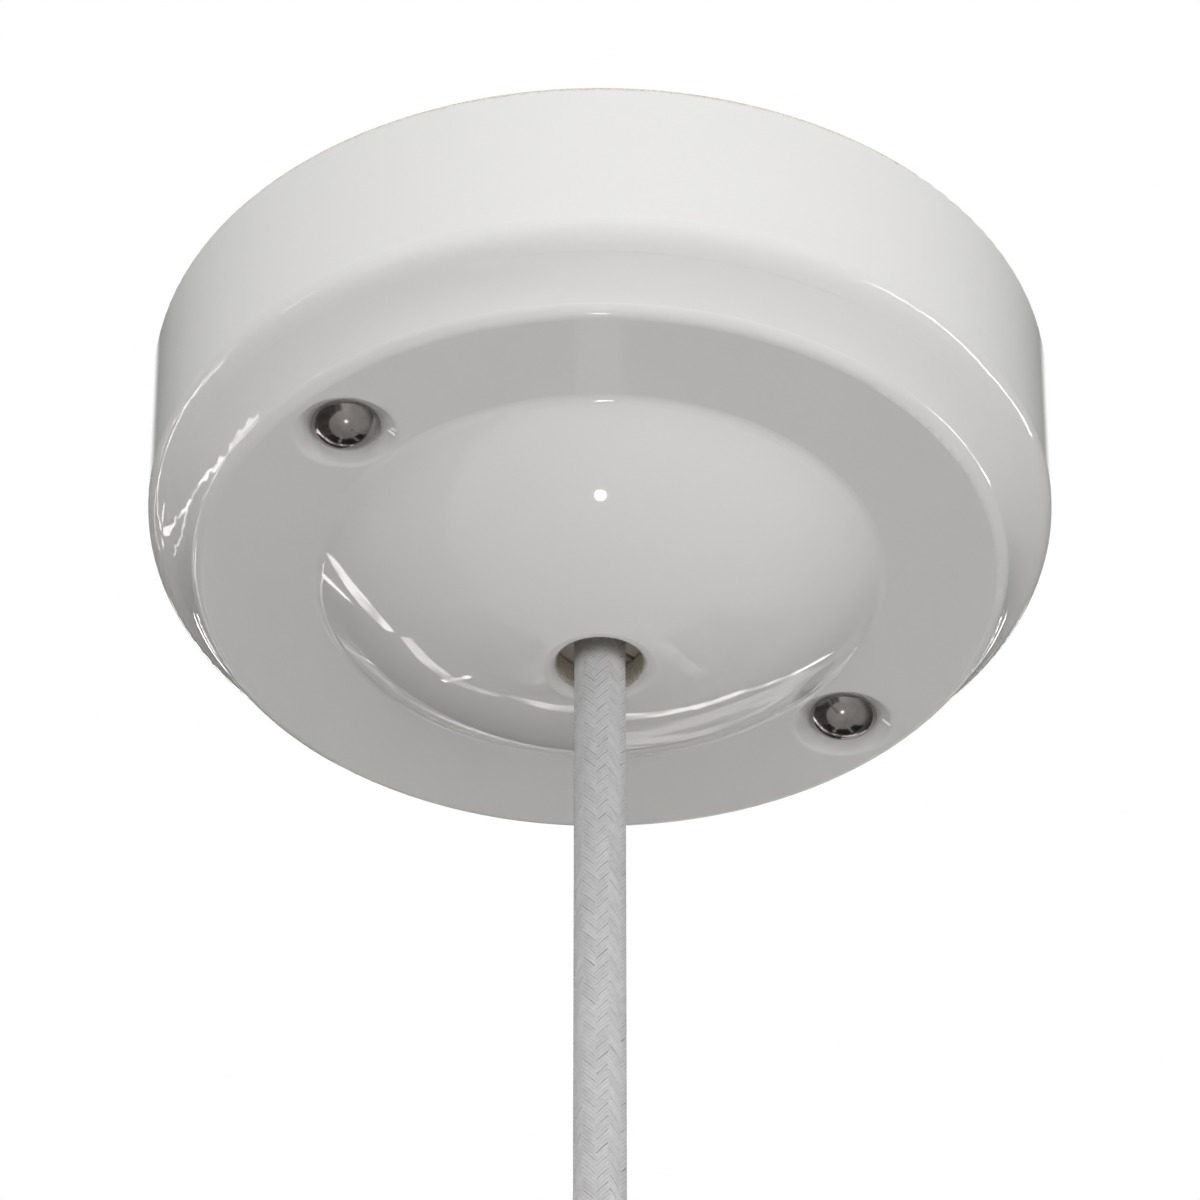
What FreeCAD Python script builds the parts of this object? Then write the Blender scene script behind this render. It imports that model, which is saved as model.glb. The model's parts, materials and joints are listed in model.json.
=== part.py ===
import FreeCAD, Part
import math
import os
import Sketcher

# Electrical ceiling rose: a glazed porcelain body held to a ceiling bracket by two dome nuts,
# with a textile flex that hangs from a grip inside the dome.
# Millimetres. The origin is the middle of the ceiling plane, +Z points up into the ceiling,
# and the two fixings lie along X.

doc = FreeCAD.newDocument("ceiling_rose")

# Driving sizes
drivingSizes = {
    # porcelain body, outside; shoulderSlope and riserLean are degrees
    "bodyRadius": 60.0,
    "wallHeight": 25.1,
    "wallEdgeRadius": 5.0,
    "shoulderSlope": 38.0,
    "shoulderFlat": 0.27,
    "coveRadius": 11.5,
    "riserLean": 20.0,
    "riserFlat": 0.23,
    "ringEdgeRadius": 1.8,
    "ringWidth": 16.53,
    "domeDrop": 15.4,
    "domeFootFillet": 2.0,
    "rimEdgeRadius": 0.6,
    # porcelain body, inside
    "bodyWall": 5.0,
    "innerCornerRadius": 1.0,
    "bossRadius": 8.5,
    "bossHeight": 3.0,
    "gripSeatWall": 5.5,
    # flex hole
    "flexHoleRadius": 5.7,
    "flexHoleEdge": 1.5,
    "flexHoleInnerEdge": 0.8,
    # dished recesses for the dome nuts
    "fixingInset": 8.93,
    "dishSlopeWidth": 2.5,
    "dishDepth": 1.8,
    "dishEdgeRadius": 1.2,
    # ceiling bracket
    "bracketWidth": 18.0,
    "bracketThickness": 2.0,
    "bracketEnd": 7.2,
    "slotInset": 14.7,
    "slotLength": 11.0,
    "slotWidth": 4.6,
    "collarWall": 1.4,
    "collarHeight": 1.2,
    # studs, lock nuts and dome nuts
    "studRadius": 2.0,
    "studInset": 0.3,
    "studChamfer": 0.4,
    "lockWasherRadius": 4.0,
    "lockWasherThickness": 0.9,
    "lockNutFlats": 7.0,
    "lockNutHeight": 3.2,
    "lockNutChamfer": 0.4,
    "nutWasherInset": 0.3,
    "nutWasherThickness": 0.5,
    "domeNutRadius": 4.6,
    "domeNutCollar": 0.3,
    "domeNutRise": 2.4,
    "domeNutNeckRadius": 3.0,
    "domeNutNeckHeight": 3.0,
    "domeNutGrip": 1.3,
    "domeNutBoreEnd": 0.4,
    # terminal block
    "blockWidth": 18.0,
    "blockBase": 10.0,
    "blockCorner": 1.2,
    "blockEnd": 5.0,
    "towerHeight": 3.0,
    "towerRadius": 2.9,
    "polePitch": 10.0,
    "barrelRadius": 2.4,
    "barrelBore": 1.4,
    "barrelLength": 14.0,
    "barrelDepth": 6.0,
    "terminalScrewOffset": 3.8,
    "terminalScrewRadius": 1.25,
    "terminalHeadRadius": 1.75,
    "terminalHeadHeight": 1.8,
    "terminalHeadInset": 0.6,
    "blockScrewRadius": 1.5,
    "blockScrewInset": 0.4,
    "panHeadRadius": 2.7,
    "panHeadHeight": 2.0,
    # earth bonding on the bracket
    "earthOffset": 22.0,
    "earReach": 11.5,
    "earRadius": 5.0,
    "earthScrewRadius": 1.75,
    "earthHeadRadius": 3.4,
    "earthHeadHeight": 2.3,
    "earthWasherThickness": 0.8,
    "earthWasherRadius": 3.1,
    "tagThickness": 0.8,
    "tagRadius": 3.3,
    "tagNeckWidth": 2.6,
    "tagSleeveStart": 5.4,
    "tagSleeveLength": 6.0,
    "tagSleeveRadius": 1.6,
    "tagSleeveGrip": 3.5,
    # grip on the flex inside the dome
    "gripFlangeRadius": 10.0,
    "gripFlangeHeight": 3.0,
    "gripBlockLength": 19.0,
    "gripBlockWidth": 12.0,
    "gripCorner": 1.5,
    "gripHeight": 12.0,
    "gripGap": 0.6,
    "gripScrewOffset": 6.6,
    "gripScrewRise": 7.8,
    "gripScrewInset": 0.8,
    "gripToothDepth": 0.5,
    "gripToothHeight": 1.2,
    # flex and cores
    "flexRadius": 3.4,
    "flexAboveGrip": 1.7,
    "coreRadius": 1.1,
    "coreCircleRadius": 1.35,
    "coreStripping": 1.0,
    "ferruleRadius": 0.9,
    "ferruleLength": 6.6,
    # lower end of the flex, with the grip that a lampholder screws to
    "lampGripDepth": 141.0,
    "lampCollarRadius": 7.0,
    "lampCollarHeight": 9.0,
    "lampThreadRadius": 5.0,
    "lampThreadLength": 9.0,
    "lampEdgeChamfer": 0.6,
    "lampScrewRadius": 2.0,
    "lampScrewProud": 0.5,
    "flexEndInset": 2.0,
    "lowerFerruleLength": 5.5,
    # clearances
    "fitClearance": 0.05,
    "screwClearance": 0.1,
    "flexClearance": 0.05,
    "wireClearance": 0.2,
}

# Sizes that follow from the driving ones
derivedSizes = {
    "wallEdgeRun": "wallEdgeRadius * tan(45 - shoulderSlope / 2)",
    "coveRun": "coveRadius * tan(45 - (shoulderSlope + riserLean) / 2)",
    "ringEdgeRun": "ringEdgeRadius * tan(45 - riserLean / 2)",
    "shoulderLength": "wallEdgeRun + shoulderFlat + coveRun",
    "riserLength": "coveRun + riserFlat + ringEdgeRun",
    "shoulderFootRadius": "bodyRadius - shoulderLength * cos(shoulderSlope)",
    "shoulderFootDepth": "wallHeight + shoulderLength * sin(shoulderSlope)",
    "ringRadius": "shoulderFootRadius - riserLength * sin(riserLean)",
    "ringDepth": "shoulderFootDepth + riserLength * cos(riserLean)",
    "domeFootRadius": "ringRadius - ringWidth",
    "fixingOffset": "ringRadius - fixingInset",
    "bodyInnerRadius": "bodyRadius - bodyWall",
    "innerShoulderDepth": "wallHeight - bodyWall / 2",
    "innerShoulderFoot": "shoulderFootDepth - bodyWall / 2",
    "innerStepRadius": "shoulderFootRadius - bodyWall",
    "innerRingDepth": "ringDepth - bodyWall",
    "apexDepth": "ringDepth + domeDrop",
    "domeSphereRadius": "(domeFootRadius ^ 2 + domeDrop ^ 2) / (2 * domeDrop)",
    "domeCentreHeight": "domeSphereRadius - apexDepth",
    "domeInnerRadius": "domeSphereRadius - bodyWall",
    "innerFootRadius": "sqrt(domeInnerRadius ^ 2 - (domeCentreHeight + innerRingDepth) ^ 2)",
    "holeRimDepth": "sqrt(domeSphereRadius ^ 2 - flexHoleRadius ^ 2) - domeCentreHeight",
    "gripSeatRadius": "gripFlangeRadius + 5 * screwClearance",
    "gripSeatDepth": "apexDepth - gripSeatWall",
    "gripSeatEdgeDepth": "sqrt(domeInnerRadius ^ 2 - gripSeatRadius ^ 2) - domeCentreHeight",
    "dishFloorRadius": "domeNutRadius + screwClearance",
    "dishRadius": "dishFloorRadius + dishSlopeWidth",
    "dishFloorDepth": "ringDepth - dishDepth",
    "dishOpenDepth": "apexDepth",
    "dishEdgeCentreDepth": "ringDepth - dishEdgeRadius",
    "strapEndRadius": "bracketWidth / 2",
    "strapHalfRun": "fixingOffset + bracketEnd - strapEndRadius",
    "slotOffset": "fixingOffset - slotInset",
    "slotHalfRun": "(slotLength - slotWidth) / 2",
    "slotRadius": "slotWidth / 2",
    "studBore": "studRadius + fitClearance",
    "collarRadius": "studBore + collarWall",
    "collarDepth": "bracketThickness + collarHeight",
    "lockNutDepth": "collarDepth + lockWasherThickness",
    "lockNutCorner": "lockNutFlats / sqrt(3)",
    "lockNutTurned": "lockNutCorner + screwClearance",
    "lockNutEdge": "lockNutFlats / 2 - lockNutChamfer / 4",
    "lockNutShoulder": "lockNutHeight - lockNutChamfer",
    "lockNutFoot": "lockNutDepth + lockNutHeight",
    "studHoleRadius": "domeNutNeckRadius + 3 * screwClearance",
    "nutWasherBore": "domeNutNeckRadius + fitClearance",
    "nutWasherRadius": "domeNutRadius - nutWasherInset",
    "domeNutDepth": "dishFloorDepth + nutWasherThickness",
    "domeNutBall": "(domeNutRadius ^ 2 + domeNutRise ^ 2) / (2 * domeNutRise)",
    "domeNutApex": "domeNutCollar + domeNutRise",
    "domeNutCentre": "domeNutBall - domeNutApex",
    "studEndDepth": "domeNutDepth + domeNutGrip",
    "studLength": "studEndDepth - studInset",
    "studShoulder": "studLength - studChamfer",
    "studTipRadius": "studRadius - studChamfer",
    "domeNutBoreDepth": "domeNutGrip + domeNutBoreEnd",
    "blockHalfLength": "polePitch + blockEnd",
    "blockFace": "blockWidth / 2",
    "blockFootDepth": "bracketThickness + blockBase",
    "towerEndDepth": "blockFootDepth + towerHeight",
    "barrelAxisDepth": "bracketThickness + barrelDepth",
    "barrelHole": "barrelRadius + fitClearance",
    "crossHole": "terminalScrewRadius + fitClearance",
    "wellRadius": "terminalHeadRadius + 2 * screwClearance",
    "wellLength": "towerEndDepth - barrelAxisDepth",
    "wireRise": "barrelBore - ferruleRadius - wireClearance",
    "wireDepth": "barrelAxisDepth - wireRise",
    "screwTipDepth": "wireDepth + ferruleRadius + wireClearance",
    "openTipDepth": "barrelAxisDepth + barrelBore",
    "terminalHeadDepth": "towerEndDepth - terminalHeadInset - terminalHeadHeight",
    "terminalShank": "terminalHeadDepth - screwTipDepth",
    "terminalScrewLength": "terminalShank + terminalHeadHeight",
    "blockScrewHole": "blockScrewRadius + screwClearance",
    "blockScrewOffset": "polePitch / 2",
    "blockScrewShank": "blockFootDepth - blockScrewInset",
    "blockScrewLength": "blockScrewShank + panHeadHeight",
    "earNear": "earthOffset - earRadius",
    "earFar": "earthOffset + earRadius",
    "earthHole": "earthScrewRadius + fitClearance",
    "earthEyeRadius": "earthScrewRadius + screwClearance",
    "earthTagDepth": "bracketThickness + tagThickness",
    "earthHeadDepth": "earthTagDepth + earthWasherThickness",
    "earthShank": "earthHeadDepth - studInset",
    "earthScrewLength": "earthShank + earthHeadHeight",
    "tagSleeveBore": "coreRadius + fitClearance",
    "tagSleeveDepth": "bracketThickness + tagSleeveRadius + wireClearance",
    "tagSleeveDrop": "tagSleeveDepth - earthTagDepth",
    "tagSleeveEnd": "tagSleeveStart + tagSleeveLength",
    "tagHalfNeck": "tagNeckWidth / 2",
    "tagNeckEnd": "tagSleeveStart + tagSleeveLength / 2",
    "gripHalfGap": "gripGap / 2",
    "gripBlockHeight": "gripHeight - gripFlangeHeight",
    "gripHalfLength": "gripBlockLength / 2",
    "gripToothSecond": "3 * gripToothHeight",
    "gripToothThird": "5 * gripToothHeight",
    "gripToothFourth": "7 * gripToothHeight",
    "gripBore": "flexRadius + flexClearance",
    "gripValley": "gripBore + gripToothDepth",
    "gripScrewHole": "blockScrewRadius + screwClearance / 2",
    "gripTopDepth": "gripSeatDepth - gripHeight",
    "gripScrewDepth": "gripSeatDepth - gripScrewRise",
    "gripFace": "gripBlockWidth / 2",
    "gripScrewTip": "gripFace - gripScrewInset",
    "gripScrewShank": "gripBlockWidth - gripScrewInset",
    "gripScrewLength": "gripScrewShank + panHeadHeight",
    "flexTopDepth": "gripTopDepth - flexAboveGrip",
    "lampShoulderDepth": "lampGripDepth + lampCollarHeight",
    "lampEndDepth": "lampShoulderDepth + lampThreadLength",
    "lampCollarEdge": "lampCollarRadius - lampEdgeChamfer",
    "lampCollarTop": "lampGripDepth + lampEdgeChamfer",
    "lampCollarFoot": "lampShoulderDepth - lampEdgeChamfer",
    "lampThreadFoot": "lampEndDepth - lampEdgeChamfer",
    "lampThreadTip": "lampThreadRadius - lampEdgeChamfer",
    "flexEndDepth": "lampEndDepth - flexEndInset",
    "flexLength": "flexEndDepth - flexTopDepth",
    "lampScrewHole": "lampScrewRadius + fitClearance",
    "lampScrewDepth": "lampGripDepth + lampCollarHeight / 2",
    "lampScrewLength": "lampCollarRadius + lampScrewProud - gripBore",
    "coreEnd": "blockWidth / 2 - coreStripping",
    "ferruleEnd": "coreEnd - ferruleLength",
}

# Routes of the cores and of the earth lead, as distances along each leg
upperRoute = {"rise": 6.5, "low": 11.0, "reach": 13.0, "fan": 9.0}
earthRoute = {"reach": 15.0, "crest": 19.0, "tagTurn": 45.0}
lowerRoute = {"straight": 3.5, "end": 10.0, "fan": 1.6}

sheet = doc.addObject("Spreadsheet::Sheet", "Sizes")
for row, (alias, number) in enumerate(drivingSizes.items(), 1):
    sheet.set("A%d" % row, alias)
    sheet.set("B%d" % row, str(number))
    sheet.setAlias("B%d" % row, alias)
for row, (alias, formula) in enumerate(derivedSizes.items(), 1):
    sheet.set("D%d" % row, alias)
    sheet.set("E%d" % row, "=" + formula)
    sheet.setAlias("E%d" % row, alias)
doc.recompute()

pieces = {}


# Small helpers for sizes

def size(alias):
    # a leading minus turns the size round, and 0 is the axis itself
    if alias == "0":
        return 0.0
    if alias.startswith("-"):
        return -float(sheet.get(alias[1:]))
    return float(sheet.get(alias))


def cell(alias):
    return "-Sizes." + alias[1:] if alias.startswith("-") else "Sizes." + alias


def bind(item, path, alias):
    item.setExpression(path, cell(alias))


def place(item, alongX="0", alongY="0", alongZ="0"):
    # puts a piece where the sheet says
    for axis, alias in (("x", alongX), ("y", alongY), ("z", alongZ)):
        if alias != "0":
            bind(item, "Placement.Base." + axis, alias)


def turn(item, axis, degrees):
    item.Placement = FreeCAD.Placement(FreeCAD.Vector(0, 0, 0), FreeCAD.Rotation(axis, degrees))


# Small helpers for bodies and sketches

def newBody(label):
    body = doc.addObject("PartDesign::Body", label)
    body.Label = label
    return body


def newSketch(body, name, plane="XZ_Plane", offset=None):
    sketch = body.newObject("Sketcher::SketchObject", name)
    support = [item for item in body.Origin.OriginFeatures if item.Role == plane][0]
    sketch.AttachmentSupport = [(support, "")]
    sketch.MapMode = "FlatFace"
    if offset:
        bind(sketch, "AttachmentOffset.Base.z", offset)
    return sketch


def fixDistance(sketch, kind, axisLine, geometry, point, alias):
    # ties one coordinate of a sketch point to a size
    if alias is None:
        return
    if alias == "0":
        sketch.addConstraint(Sketcher.Constraint("PointOnObject", geometry, point, axisLine))
        return
    if alias.startswith("-"):
        ends = (geometry, point, -1, 1)
    else:
        ends = (-1, 1, geometry, point)
    index = sketch.addConstraint(Sketcher.Constraint(kind, *ends, abs(size(alias))))
    sketch.setExpression("Constraints[%d]" % index, cell(alias.lstrip("-")))


def fixPoint(sketch, geometry, point, alongX, alongY):
    fixDistance(sketch, "DistanceX", -2, geometry, point, alongX)
    fixDistance(sketch, "DistanceY", -1, geometry, point, alongY)


def fixRadius(sketch, geometry, alias):
    index = sketch.addConstraint(Sketcher.Constraint("Radius", geometry, size(alias)))
    bind(sketch, "Constraints[%d]" % index, alias)


def addCircle(sketch, alongX, alongY, radius):
    centre = FreeCAD.Vector(size(alongX), size(alongY), 0)
    geometry = sketch.addGeometry(Part.Circle(centre, FreeCAD.Vector(0, 0, 1), size(radius)))
    fixPoint(sketch, geometry, 3, alongX, alongY)
    fixRadius(sketch, geometry, radius)


def addOutline(sketch, corners):
    # closed outline of straight edges; each corner is a pair of sizes
    points = [FreeCAD.Vector(size(alongX), size(alongY), 0) for alongX, alongY in corners]
    first = sketch.GeometryCount
    for index, point in enumerate(points):
        sketch.addGeometry(Part.LineSegment(point, points[(index + 1) % len(points)]))
    for index, (alongX, alongY) in enumerate(corners):
        before = first + (index - 1) % len(corners)
        sketch.addConstraint(Sketcher.Constraint("Coincident", before, 2, first + index, 1))
        fixPoint(sketch, first + index, 1, alongX, alongY)


def addSlot(sketch, alongX, halfRun, radius):
    # round-ended slot on the X axis, given by its middle, half the run between its end centres and its radius
    middle, run, reach = size(alongX), size(halfRun), size(radius)
    up = FreeCAD.Vector(0, 0, 1)
    quarter = math.pi / 2
    right = Part.Circle(FreeCAD.Vector(middle + run, 0, 0), up, reach)
    left = Part.Circle(FreeCAD.Vector(middle - run, 0, 0), up, reach)
    arcRight = sketch.addGeometry(Part.ArcOfCircle(right, -quarter, quarter))
    arcLeft = sketch.addGeometry(Part.ArcOfCircle(left, quarter, 3 * quarter))
    top = sketch.addGeometry(Part.LineSegment(FreeCAD.Vector(middle + run, reach, 0),
                                              FreeCAD.Vector(middle - run, reach, 0)))
    low = sketch.addGeometry(Part.LineSegment(FreeCAD.Vector(middle - run, -reach, 0),
                                              FreeCAD.Vector(middle + run, -reach, 0)))
    sketch.addConstraint(Sketcher.Constraint("Tangent", arcRight, 2, top, 1))
    sketch.addConstraint(Sketcher.Constraint("Tangent", top, 2, arcLeft, 1))
    sketch.addConstraint(Sketcher.Constraint("Tangent", arcLeft, 2, low, 1))
    sketch.addConstraint(Sketcher.Constraint("Tangent", low, 2, arcRight, 1))
    sketch.addConstraint(Sketcher.Constraint("PointOnObject", arcRight, 3, -1))
    fixRadius(sketch, arcRight, radius)
    # the two end centres lie evenly about the slot's middle
    centre = sketch.addGeometry(Part.Point(FreeCAD.Vector(middle, 0, 0)), True)
    sketch.addConstraint(Sketcher.Constraint("Symmetric", arcLeft, 3, arcRight, 3, centre, 1))
    fixDistance(sketch, "DistanceX", -2, centre, 1, alongX)
    index = sketch.addConstraint(Sketcher.Constraint("DistanceX", centre, 1, arcRight, 3, run))
    bind(sketch, "Constraints[%d]" % index, halfRun)


def addFeature(body, kind, name, sketch, length=None, **settings):
    feature = body.newObject("PartDesign::" + kind, name)
    feature.Profile = sketch
    if length:
        bind(feature, "Length", length)
    for key, value in settings.items():
        setattr(feature, key, value)
    doc.recompute()
    return feature


def turnProfile(body, name, sketch, kind="Revolution", axis="V_Axis"):
    return addFeature(body, kind, name, sketch, ReferenceAxis=(sketch, [axis]), Angle=360)


def turnedPiece(label, corners):
    # a piece turned about its own Z axis
    body = newBody(label)
    sketch = newSketch(body, label + "_outline")
    addOutline(sketch, corners)
    turnProfile(body, label + "_turned", sketch)
    pieces[label] = body
    return body


def circleEdges(feature, radius, height):
    # names of the round edges of that radius at that height, about the Z axis
    near = 0.01
    names = []
    for index, edge in enumerate(feature.Shape.Edges, 1):
        curve = edge.Curve
        if not isinstance(curve, Part.Circle):
            continue
        onAxis = math.hypot(curve.Center.x, curve.Center.y) < near
        if onAxis and abs(curve.Radius - size(radius)) < near and abs(curve.Center.z - size(height)) < near:
            names.append("Edge%d" % index)
    return names


def cornerEdges(feature, alongX, alongY):
    # names of the upright edges at the four corners of a block
    near = 0.01
    names = []
    for index, edge in enumerate(feature.Shape.Edges, 1):
        ends = [vertex.Point for vertex in edge.Vertexes]
        upright = len(ends) == 2 and math.hypot(ends[0].x - ends[1].x, ends[0].y - ends[1].y) < near
        atCorner = abs(abs(ends[0].x) - size(alongX)) < near and abs(abs(ends[0].y) - size(alongY)) < near
        if upright and atCorner:
            names.append("Edge%d" % index)
    return names


def roundEdges(body, name, base, edges, radius):
    fillet = body.newObject("PartDesign::Fillet", name)
    fillet.Base = (base, edges)
    bind(fillet, "Radius", radius)
    doc.recompute()
    return fillet


# Porcelain body

def addRoseProfile(body):
    # half section of the porcelain: outside from the rim by the shoulder and ring to the flex hole, back up inside
    sketch = newSketch(body, "rose_profile")
    corners = [
        ("bodyRadius", "0"),
        ("bodyRadius", "-wallHeight"),
        ("shoulderFootRadius", "-shoulderFootDepth"),
        ("ringRadius", "-ringDepth"),
        ("domeFootRadius", "-ringDepth"),
        ("flexHoleRadius", "-holeRimDepth"),
        ("flexHoleRadius", "-gripSeatDepth"),
        ("gripSeatRadius", "-gripSeatDepth"),
        ("gripSeatRadius", "-gripSeatEdgeDepth"),
        ("innerFootRadius", "-innerRingDepth"),
        ("innerStepRadius", "-innerRingDepth"),
        ("innerStepRadius", "-innerShoulderFoot"),
        ("bodyInnerRadius", "-innerShoulderDepth"),
        ("bodyInnerRadius", "0"),
    ]
    # the dome's outer and inner faces are arcs about one centre on the axis, from these corners to the next
    domeArcs = {4: "domeSphereRadius", 8: "domeInnerRadius"}
    points = [FreeCAD.Vector(size(alongX), size(alongY), 0) for alongX, alongY in corners]
    centre = FreeCAD.Vector(0, size("domeCentreHeight"), 0)
    startPoint, endPoint = {}, {}
    for index, start in enumerate(points):
        end = points[(index + 1) % len(points)]
        if index in domeArcs:
            lower, upper = sorted((start, end), key=lambda point: math.atan2(point.y - centre.y, point.x))
            circle = Part.Circle(centre, FreeCAD.Vector(0, 0, 1), size(domeArcs[index]))
            angles = [math.atan2(point.y - centre.y, point.x) for point in (lower, upper)]
            sketch.addGeometry(Part.ArcOfCircle(circle, *angles))
            startPoint[index], endPoint[index] = (1, 2) if start is lower else (2, 1)
        else:
            sketch.addGeometry(Part.LineSegment(start, end))
            startPoint[index], endPoint[index] = 1, 2
    for index, (alongX, alongY) in enumerate(corners):
        before = (index - 1) % len(corners)
        sketch.addConstraint(
            Sketcher.Constraint("Coincident", before, endPoint[before], index, startPoint[index]))
        fixPoint(sketch, index, startPoint[index], alongX, alongY)
    for index in domeArcs:
        sketch.addConstraint(Sketcher.Constraint("PointOnObject", index, 3, -2))
    return sketch


def addDishProfile(body):
    # half section of a recess: a flat floor, a sloping wall and a rolled edge that runs out into the flat ring
    sketch = newSketch(body, "dish_profile")
    axisX, floorZ, openZ = size("fixingOffset"), -size("dishFloorDepth"), -size("dishOpenDepth")
    floorX, edgeX = axisX + size("dishFloorRadius"), axisX + size("dishRadius")
    edgeZ, reach = -size("dishEdgeCentreDepth"), size("dishEdgeRadius")
    # the wall is tangent to the rolled edge, seen from the corner of the floor
    away = math.atan2(floorZ - edgeZ, floorX - edgeX)
    spread = math.acos(reach / math.hypot(floorX - edgeX, floorZ - edgeZ))
    meet = away + spread
    meetPoint = FreeCAD.Vector(edgeX + reach * math.cos(meet), edgeZ + reach * math.sin(meet), 0)
    corners = [FreeCAD.Vector(axisX, floorZ, 0), FreeCAD.Vector(floorX, floorZ, 0), meetPoint,
               FreeCAD.Vector(edgeX, edgeZ - reach, 0), FreeCAD.Vector(edgeX, openZ, 0),
               FreeCAD.Vector(axisX, openZ, 0)]
    floor = sketch.addGeometry(Part.LineSegment(corners[0], corners[1]))
    wall = sketch.addGeometry(Part.LineSegment(corners[1], corners[2]))
    circle = Part.Circle(FreeCAD.Vector(edgeX, edgeZ, 0), FreeCAD.Vector(0, 0, 1), reach)
    edge = sketch.addGeometry(Part.ArcOfCircle(circle, meet % (2 * math.pi), 1.5 * math.pi))
    side = sketch.addGeometry(Part.LineSegment(corners[3], corners[4]))
    mouth = sketch.addGeometry(Part.LineSegment(corners[4], corners[5]))
    axis = sketch.addGeometry(Part.LineSegment(corners[5], corners[0]))
    sketch.addConstraint(Sketcher.Constraint("Coincident", floor, 2, wall, 1))
    sketch.addConstraint(Sketcher.Constraint("Tangent", wall, 2, edge, 1))
    sketch.addConstraint(Sketcher.Constraint("Coincident", edge, 2, side, 1))
    sketch.addConstraint(Sketcher.Constraint("Coincident", side, 2, mouth, 1))
    sketch.addConstraint(Sketcher.Constraint("Coincident", mouth, 2, axis, 1))
    sketch.addConstraint(Sketcher.Constraint("Coincident", axis, 2, floor, 1))
    sketch.addConstraint(Sketcher.Constraint("Horizontal", floor))
    sketch.addConstraint(Sketcher.Constraint("Horizontal", mouth))
    sketch.addConstraint(Sketcher.Constraint("Vertical", side))
    sketch.addConstraint(Sketcher.Constraint("Vertical", axis))
    fixPoint(sketch, floor, 1, "fixingOffset", "-dishFloorDepth")
    fixDistance(sketch, "DistanceY", -1, mouth, 1, "-dishOpenDepth")
    index = sketch.addConstraint(Sketcher.Constraint("DistanceX", floor, 1, floor, 2, size("dishFloorRadius")))
    bind(sketch, "Constraints[%d]" % index, "dishFloorRadius")
    index = sketch.addConstraint(Sketcher.Constraint("DistanceX", floor, 1, edge, 3, size("dishRadius")))
    bind(sketch, "Constraints[%d]" % index, "dishRadius")
    fixDistance(sketch, "DistanceY", -1, edge, 3, "-dishEdgeCentreDepth")
    sketch.addConstraint(Sketcher.Constraint("Vertical", edge, 3, edge, 2))
    fixRadius(sketch, edge, "dishEdgeRadius")
    axisLine = sketch.addGeometry(Part.LineSegment(corners[5], corners[0]), True)
    sketch.addConstraint(Sketcher.Constraint("Coincident", axisLine, 1, axis, 1))
    sketch.addConstraint(Sketcher.Constraint("Coincident", axisLine, 2, axis, 2))
    return sketch


def makeRoseBody():
    body = newBody("rose_body")
    shape = turnProfile(body, "rose_turned", addRoseProfile(body))
    roundings = [
        ("rim_outer_edge", "bodyRadius", "0", "rimEdgeRadius"),
        ("rim_inner_edge", "bodyInnerRadius", "0", "rimEdgeRadius"),
        ("wall_edge", "bodyRadius", "-wallHeight", "wallEdgeRadius"),
        ("shoulder_cove", "shoulderFootRadius", "-shoulderFootDepth", "coveRadius"),
        ("ring_edge", "ringRadius", "-ringDepth", "ringEdgeRadius"),
        ("dome_foot", "domeFootRadius", "-ringDepth", "domeFootFillet"),
        ("hole_edge", "flexHoleRadius", "-holeRimDepth", "flexHoleEdge"),
        ("hole_inner_edge", "flexHoleRadius", "-gripSeatDepth", "flexHoleInnerEdge"),
        ("inner_dome_foot", "innerFootRadius", "-innerRingDepth", "innerCornerRadius"),
        ("inner_step_foot", "innerStepRadius", "-innerRingDepth", "innerCornerRadius"),
        ("inner_step_edge", "innerStepRadius", "-innerShoulderFoot", "innerCornerRadius"),
        ("inner_wall_foot", "bodyInnerRadius", "-innerShoulderDepth", "innerCornerRadius"),
    ]
    for name, radius, height, rounding in roundings:
        shape = roundEdges(body, name, shape, circleEdges(shape, radius, height), rounding)
    # raised pads inside, under the bracket's studs
    bossSketch = newSketch(body, "boss_sketch", "XY_Plane", "-innerRingDepth")
    addCircle(bossSketch, "fixingOffset", "0", "bossRadius")
    boss = addFeature(body, "Pad", "boss", bossSketch, "bossHeight")
    holeSketch = newSketch(body, "stud_hole_sketch", "XY_Plane")
    addCircle(holeSketch, "fixingOffset", "0", "studHoleRadius")
    hole = addFeature(body, "Pocket", "stud_hole", holeSketch, Type="ThroughAll", Midplane=True)
    dish = turnProfile(body, "dish", addDishProfile(body), "Groove", "Axis0")
    # the second fixing lies half a turn round
    pattern = body.newObject("PartDesign::PolarPattern", "second_fixing")
    pattern.Originals = [boss, hole, dish]
    pattern.Axis = (bossSketch, ["N_Axis"])
    pattern.Angle = 360
    pattern.Occurrences = 2
    body.Tip = pattern
    pieces["rose_body"] = body


# Bracket, studs and nuts

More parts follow.
